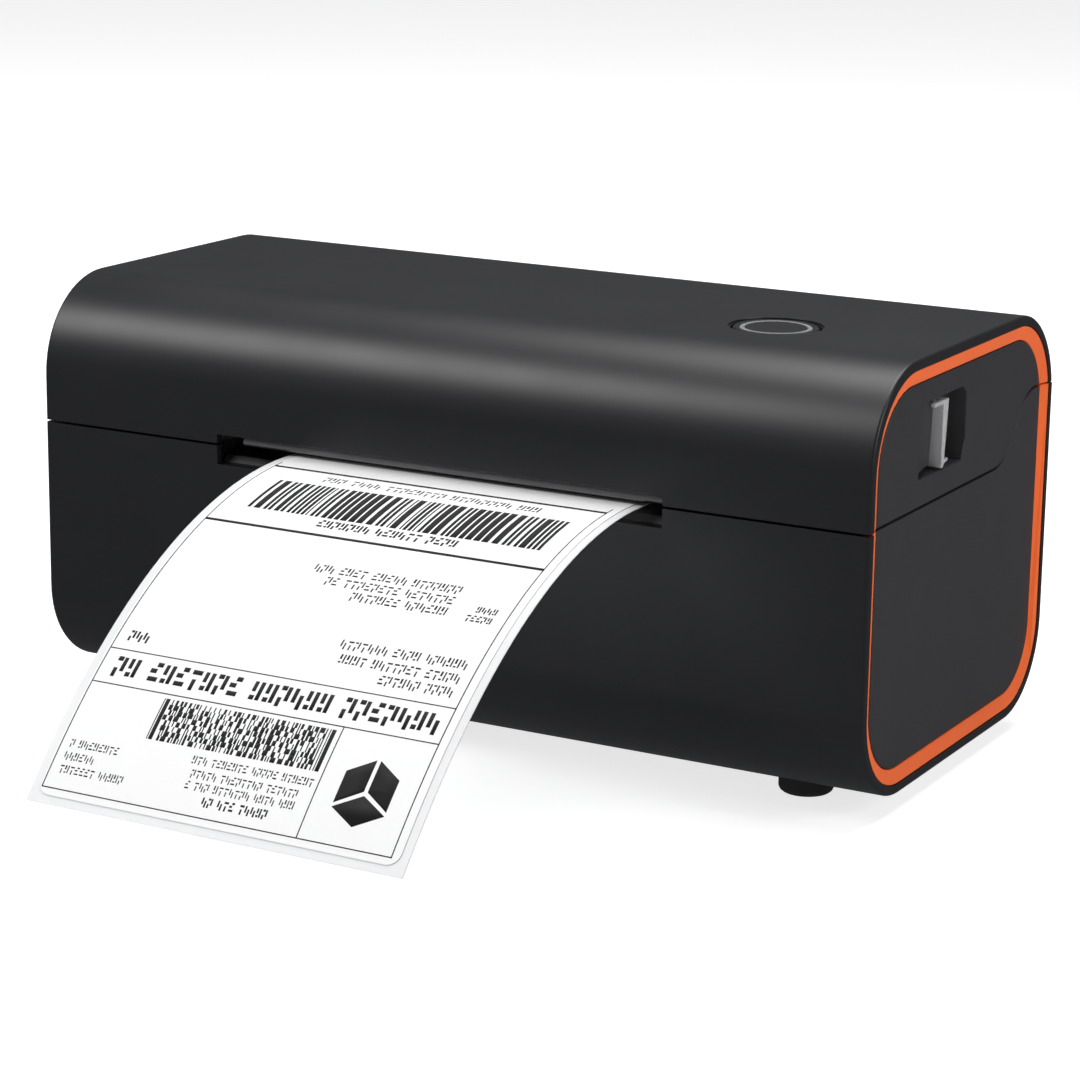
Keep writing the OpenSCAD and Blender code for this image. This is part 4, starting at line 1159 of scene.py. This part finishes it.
@dataclass
class LabelPrint:
    """Black print on the label: rules, lines of word shapes, a parcel sign and two codes.

    Print is measured from the label's head, which leaves the slot first: across from the
    right edge of the strip, and down towards the slot.
    """

    stock: LabelStock
    seed: int = 7
    across_from: float = 56.0
    down_from: float = 122.0
    module: float = 0.42

    def build(self) -> bpy.types.Object:
        """Makes the print as one thin film."""
        self.rng = random.Random(self.seed)
        self.work = Work("label_print")
        self._rules()
        self._head()
        self._addresses()
        self._codes()
        self.stock.hang(self.work, self.stock.backing + self.stock.face + 0.012)
        for f in self.work.bm.faces:
            f.normal_update()
            if f.normal.z < 0:
                f.normal_flip()
        piece = self.work.finished(0.0)
        film = piece.modifiers.new("film", "SOLIDIFY")
        film.thickness = 0.01 * MM
        film.offset = -1.0
        return piece

    def _spot(self, across: float, down: float) -> Vector:
        """Turns print measures into flat measures on the strip."""
        return Vector((self.across_from - across, self.down_from - down, 0.0))

    def _shape(self, points: Sequence[tuple[float, float]]) -> None:
        """Fills one outline with ink."""
        self.work.bm.faces.new([self.work.bm.verts.new(self._spot(*p)) for p in points])

    def _bar(self, a0: float, a1: float, d0: float, d1: float) -> None:
        """Fills a rectangle with ink."""
        self._shape([(a0, d0), (a1, d0), (a1, d1), (a0, d1)])

    def _words(self, a0: float, a1: float, top: float, height: float, weight: Weight) -> None:
        """Fills a line with word shapes made of plain strokes that spell nothing."""
        pen = weight.value
        cell = height * 0.66
        at = a0
        left = self.rng.randint(3, 8)
        while at + cell * 0.8 <= a1:
            if left == 0:
                at += cell * 0.7
                left = self.rng.randint(3, 8)
                continue
            for x0, y0, x1, y1 in self._strokes(pen):
                self._bar(
                    at + x0 * cell * 0.8, at + x1 * cell * 0.8, top + y0 * height, top + y1 * height
                )
            at += cell
            left -= 1

    def _strokes(self, pen: float) -> list[tuple[float, float, float, float]]:
        """Strokes of one made-up sign, in parts of its cell."""
        flat = pen * 0.62
        signs = [
            [(0.0, 0.0, pen, 0.7), (0.6, 0.3, 0.6 + pen, 1.0)],
            [(0.0, 0.3, pen, 1.0), (0.6, 0.0, 0.6 + pen, 0.45), (0.45, 0.8, 0.95, 0.8 + flat)],
            [
                (0.0, 0.1, 0.9, 0.1 + flat),
                (0.35, 0.5, 0.95, 0.5 + flat),
                (0.0, 0.82, 0.55, 0.82 + flat),
            ],
            [(0.0, 0.1, pen, 1.0), (0.5, 0.1, 0.95, 0.1 + flat), (0.6, 0.5, 0.95, 1.0)],
            [(0.3, 0.0, 0.3 + pen, 0.55), (0.0, 0.78, 0.9, 0.78 + flat)],
        ]
        return self.rng.choice(signs)

    def _rules(self) -> None:
        """Draws the border and the lines between the fields."""
        left, right, top, bottom = 5.5, 93.4, 6.6, 117.0
        thin = 0.28
        self._bar(left, right, top, top + thin)
        self._bar(left, left + thin, top, bottom)
        self._bar(right - thin, right, top, bottom)
        self._bar(28.4, 28.4 + thin, top, 33.0)
        self._bar(left, right, 33.0, 33.0 + thin)
        self._bar(left, right, 42.0, 42.0 + thin)
        self._bar(left, right, 84.3, 85.2)
        self._bar(left, right, 113.5, 114.5)

    def _head(self) -> None:
        """Draws the parcel sign and the lines of the first field."""
        middle, top, half, rise = 17.1, 11.4, 6.4, 3.6
        side = 8.4
        gap = 0.45
        self._shape(
            [
                (middle, top),
                (middle + half, top + rise),
                (middle, top + 2 * rise),
                (middle - half, top + rise),
            ]
        )
        for sign in (-1, 1):
            inner, outer = middle + sign * gap, middle + sign * half
            points = [(inner, top + 2 * rise + 2 * gap), (outer, top + rise + 2 * gap)]
            points += [(outer, top + rise + side), (inner, top + 2 * rise + side)]
            self._shape(points if sign > 0 else points[::-1])
        self._words(37.3, 54.6, 9.2, 2.2, Weight.BOLD)
        for a0, a1, top in ((32, 60.3, 12.4), (32.3, 59, 15.1), (29.8, 61.4, 18.2)):
            self._words(a0, a1, top, 2.0, Weight.THIN)
        for a0, a1, top in ((74.4, 92.2, 10.4), (83.5, 92.2, 13.5), (78.5, 92.1, 16.6)):
            self._words(a0, a1, top, 2.0, Weight.THIN)

    def _addresses(self) -> None:
        """Draws the band, and the lines of the sender and of the receiver."""
        self._words(7.8, 90.6, 35.0, 5.2, Weight.BOLD)
        for a1, top in ((26.9, 44.5), (39.4, 48.1), (42.1, 51.9)):
            self._words(8.3, a1, top, 2.6, Weight.THIN)
        self._words(85.2, 90.8, 44.6, 2.8, Weight.BOLD)
        self._words(8.8, 15.8, 65.0, 2.0, Weight.BOLD)
        self._words(8.8, 14.0, 67.8, 2.0, Weight.BOLD)
        for a1, top in ((44.4, 65.4), (53.9, 68.9), (58.0, 72.4)):
            self._words(20.2, a1, top, 2.7, Weight.THIN)
        self._words(29.8, 67.5, 87.6, 3.0, Weight.BOLD)
        self._words(20.2, 77.2, 108.2, 3.0, Weight.THIN)

    def _codes(self) -> None:
        """Draws the bar code and the stacked code."""
        at = 10.4
        while at < 86.5:
            bar = self.rng.choice((1, 2, 2, 3, 4)) * self.module
            self._bar(at, at + bar, 91.6, 106.0)
            at += bar + self.rng.choice((1, 1, 1, 2)) * self.module
        left, right, top = 29.8, 73.4, 21.9
        fine, row = 0.31, 1.27
        for edge in (left, right - 1.5):
            self._bar(edge, edge + 1.0, top, top + 8 * row)
            self._bar(edge + 1.25, edge + 1.5, top, top + 8 * row)
        for i in range(8):
            at = left + 2.0
            while at < right - 2.4:
                bar = self.rng.choice((1, 1, 2, 3, 4)) * fine
                self._bar(at, at + bar, top + i * row, top + (i + 1) * row)
                at += bar + self.rng.choice((1, 1, 2, 3)) * fine


# ---- studio ----


@dataclass
class Studio:
    """Pale floor, soft lights and the camera."""

    lens: float = 109.7
    sensor: float = 36.0

    def build(self) -> None:
        """Sets up the whole studio."""
        self._floor()
        self._lights()
        self._camera()

    def _floor(self) -> None:
        """Makes the floor that the feet stand on."""
        work = Work("floor")
        bmesh.ops.create_grid(work.bm, x_segments=2, y_segments=2, size=12.0)
        floor = work.finished(0.0, metres=True)
        recipe = Recipe("pale_floor", (0.6, 0.6, 0.605), 0.7, emission_strength=0.75)
        cloud = recipe.noise(240.0, 2.0)
        recipe.feed(Base_Color=recipe.tint(cloud, 0.01))
        recipe.shader.inputs["Emission Color"].default_value = (1.0, 1.0, 1.0, 1.0)
        floor.data.materials.append(recipe.material)
        floor.visible_glossy = False

    def _lights(self) -> None:
        """Hangs three soft panels and a pale surround."""
        world = bpy.data.worlds.new("surround")
        bpy.context.scene.world = world
        world.use_nodes = True
        glow = world.node_tree.nodes["Background"].inputs
        glow["Color"].default_value = (0.95, 0.97, 1.0, 1.0)
        glow["Strength"].default_value = 0.1
        panels = [
            ("over", (0.0, 0.35, 1.2), (0.0, 0.05, 0.0), 1.0, 14.0),
            ("front_left", (-0.9, -0.75, 1.25), (0.0, -0.05, 0.05), 0.7, 12.0),
            ("right", (1.5, -0.1, 0.8), (0.0, 0.0, 0.05), 0.7, 7.0),
        ]
        for name, spot, aim, size, power in panels:
            light = bpy.data.lights.new(name, "AREA")
            light.shape = "DISK"
            light.size = size
            light.energy = power
            lamp = bpy.data.objects.new(name, light)
            bpy.context.scene.collection.objects.link(lamp)
            way = Vector(aim) - Vector(spot)
            lamp.location = spot
            lamp.rotation_euler = way.to_track_quat("-Z", "Y").to_euler()

    def _camera(self) -> None:
        """Places the camera."""
        data = bpy.data.cameras.new("camera")
        data.lens = self.lens
        data.sensor_width = self.sensor
        camera = bpy.data.objects.new("camera", data)
        bpy.context.scene.collection.objects.link(camera)
        right = Vector((0.87408, 0.48561, 0.01327))
        ahead = Vector((-0.46787, 0.84888, -0.24596))
        up = right.cross(ahead).normalized()
        turn = Matrix((right, up, -ahead)).transposed().to_4x4()
        camera.matrix_world = Matrix.Translation(placed(378.60, -633.98, 236.37)) @ turn
        bpy.context.scene.camera = camera
        bpy.context.scene.view_settings.view_transform = "Standard"


def main() -> None:
    """Builds the printer's looks, sub-assembly by sub-assembly."""
    logging.basicConfig(level=logging.INFO, format="%(message)s")
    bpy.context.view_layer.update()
    palette = Palette()
    button_at = Vector((66.2, 43.7, BODY.height))
    settle(Casing().build(), Placing("root", "shell_black", ("lower_casing",)), palette)
    settle(Cover(button_at).build(), Placing("cover", "shell_black", ("top_cover",)), palette)
    for side in Side:
        ends = SideDressing(side)
        s = side.value
        settle(ends.ring(True), Placing("root", "trim_orange", (f"lower_trim_{s}",)), palette)
        settle(ends.ring(False), Placing("cover", "trim_orange", (f"upper_trim_{s}",)), palette)
        low, high = f"lower_side_panel_{s}", f"upper_side_panel_{s}"
        settle(ends.lower_panel(), Placing("root", "panel_grey", (low,)), palette)
        settle(ends.upper_panel(), Placing("cover", "panel_grey", (high,)), palette)
        lever = ReleaseLever(side).build()
        settle(lever, Placing("latch", "lever_metal", (f"latch_lever_{s}",)), palette)
    button = FeedButton(button_at)
    settle(button.cap(), Placing("button", "shell_black", ("feed_button",)), palette)
    settle(button.ring(), Placing("button", "light_ring", ("button_light_ring",)), palette)
    settle(Feet().build(), Placing("root", "rubber_black", ("rubber_feet",)), palette)
    stock = LabelStock()
    strip = settle(stock.strip(), Placing("root", "liner_paper", ("label_liner",)), palette)
    labels = settle(stock.labels(), Placing("root", "label_paper", ("label_face",)), palette)
    ink = LabelPrint(stock).build()
    settle(ink, Placing("root", "component_black", (), "printed_ink"), palette)
    palette.dress_nodes()
    Studio().build()
    LOG.info("strip %s carries %s", strip.name, labels.name)


if __name__ == "__main__":
    main()
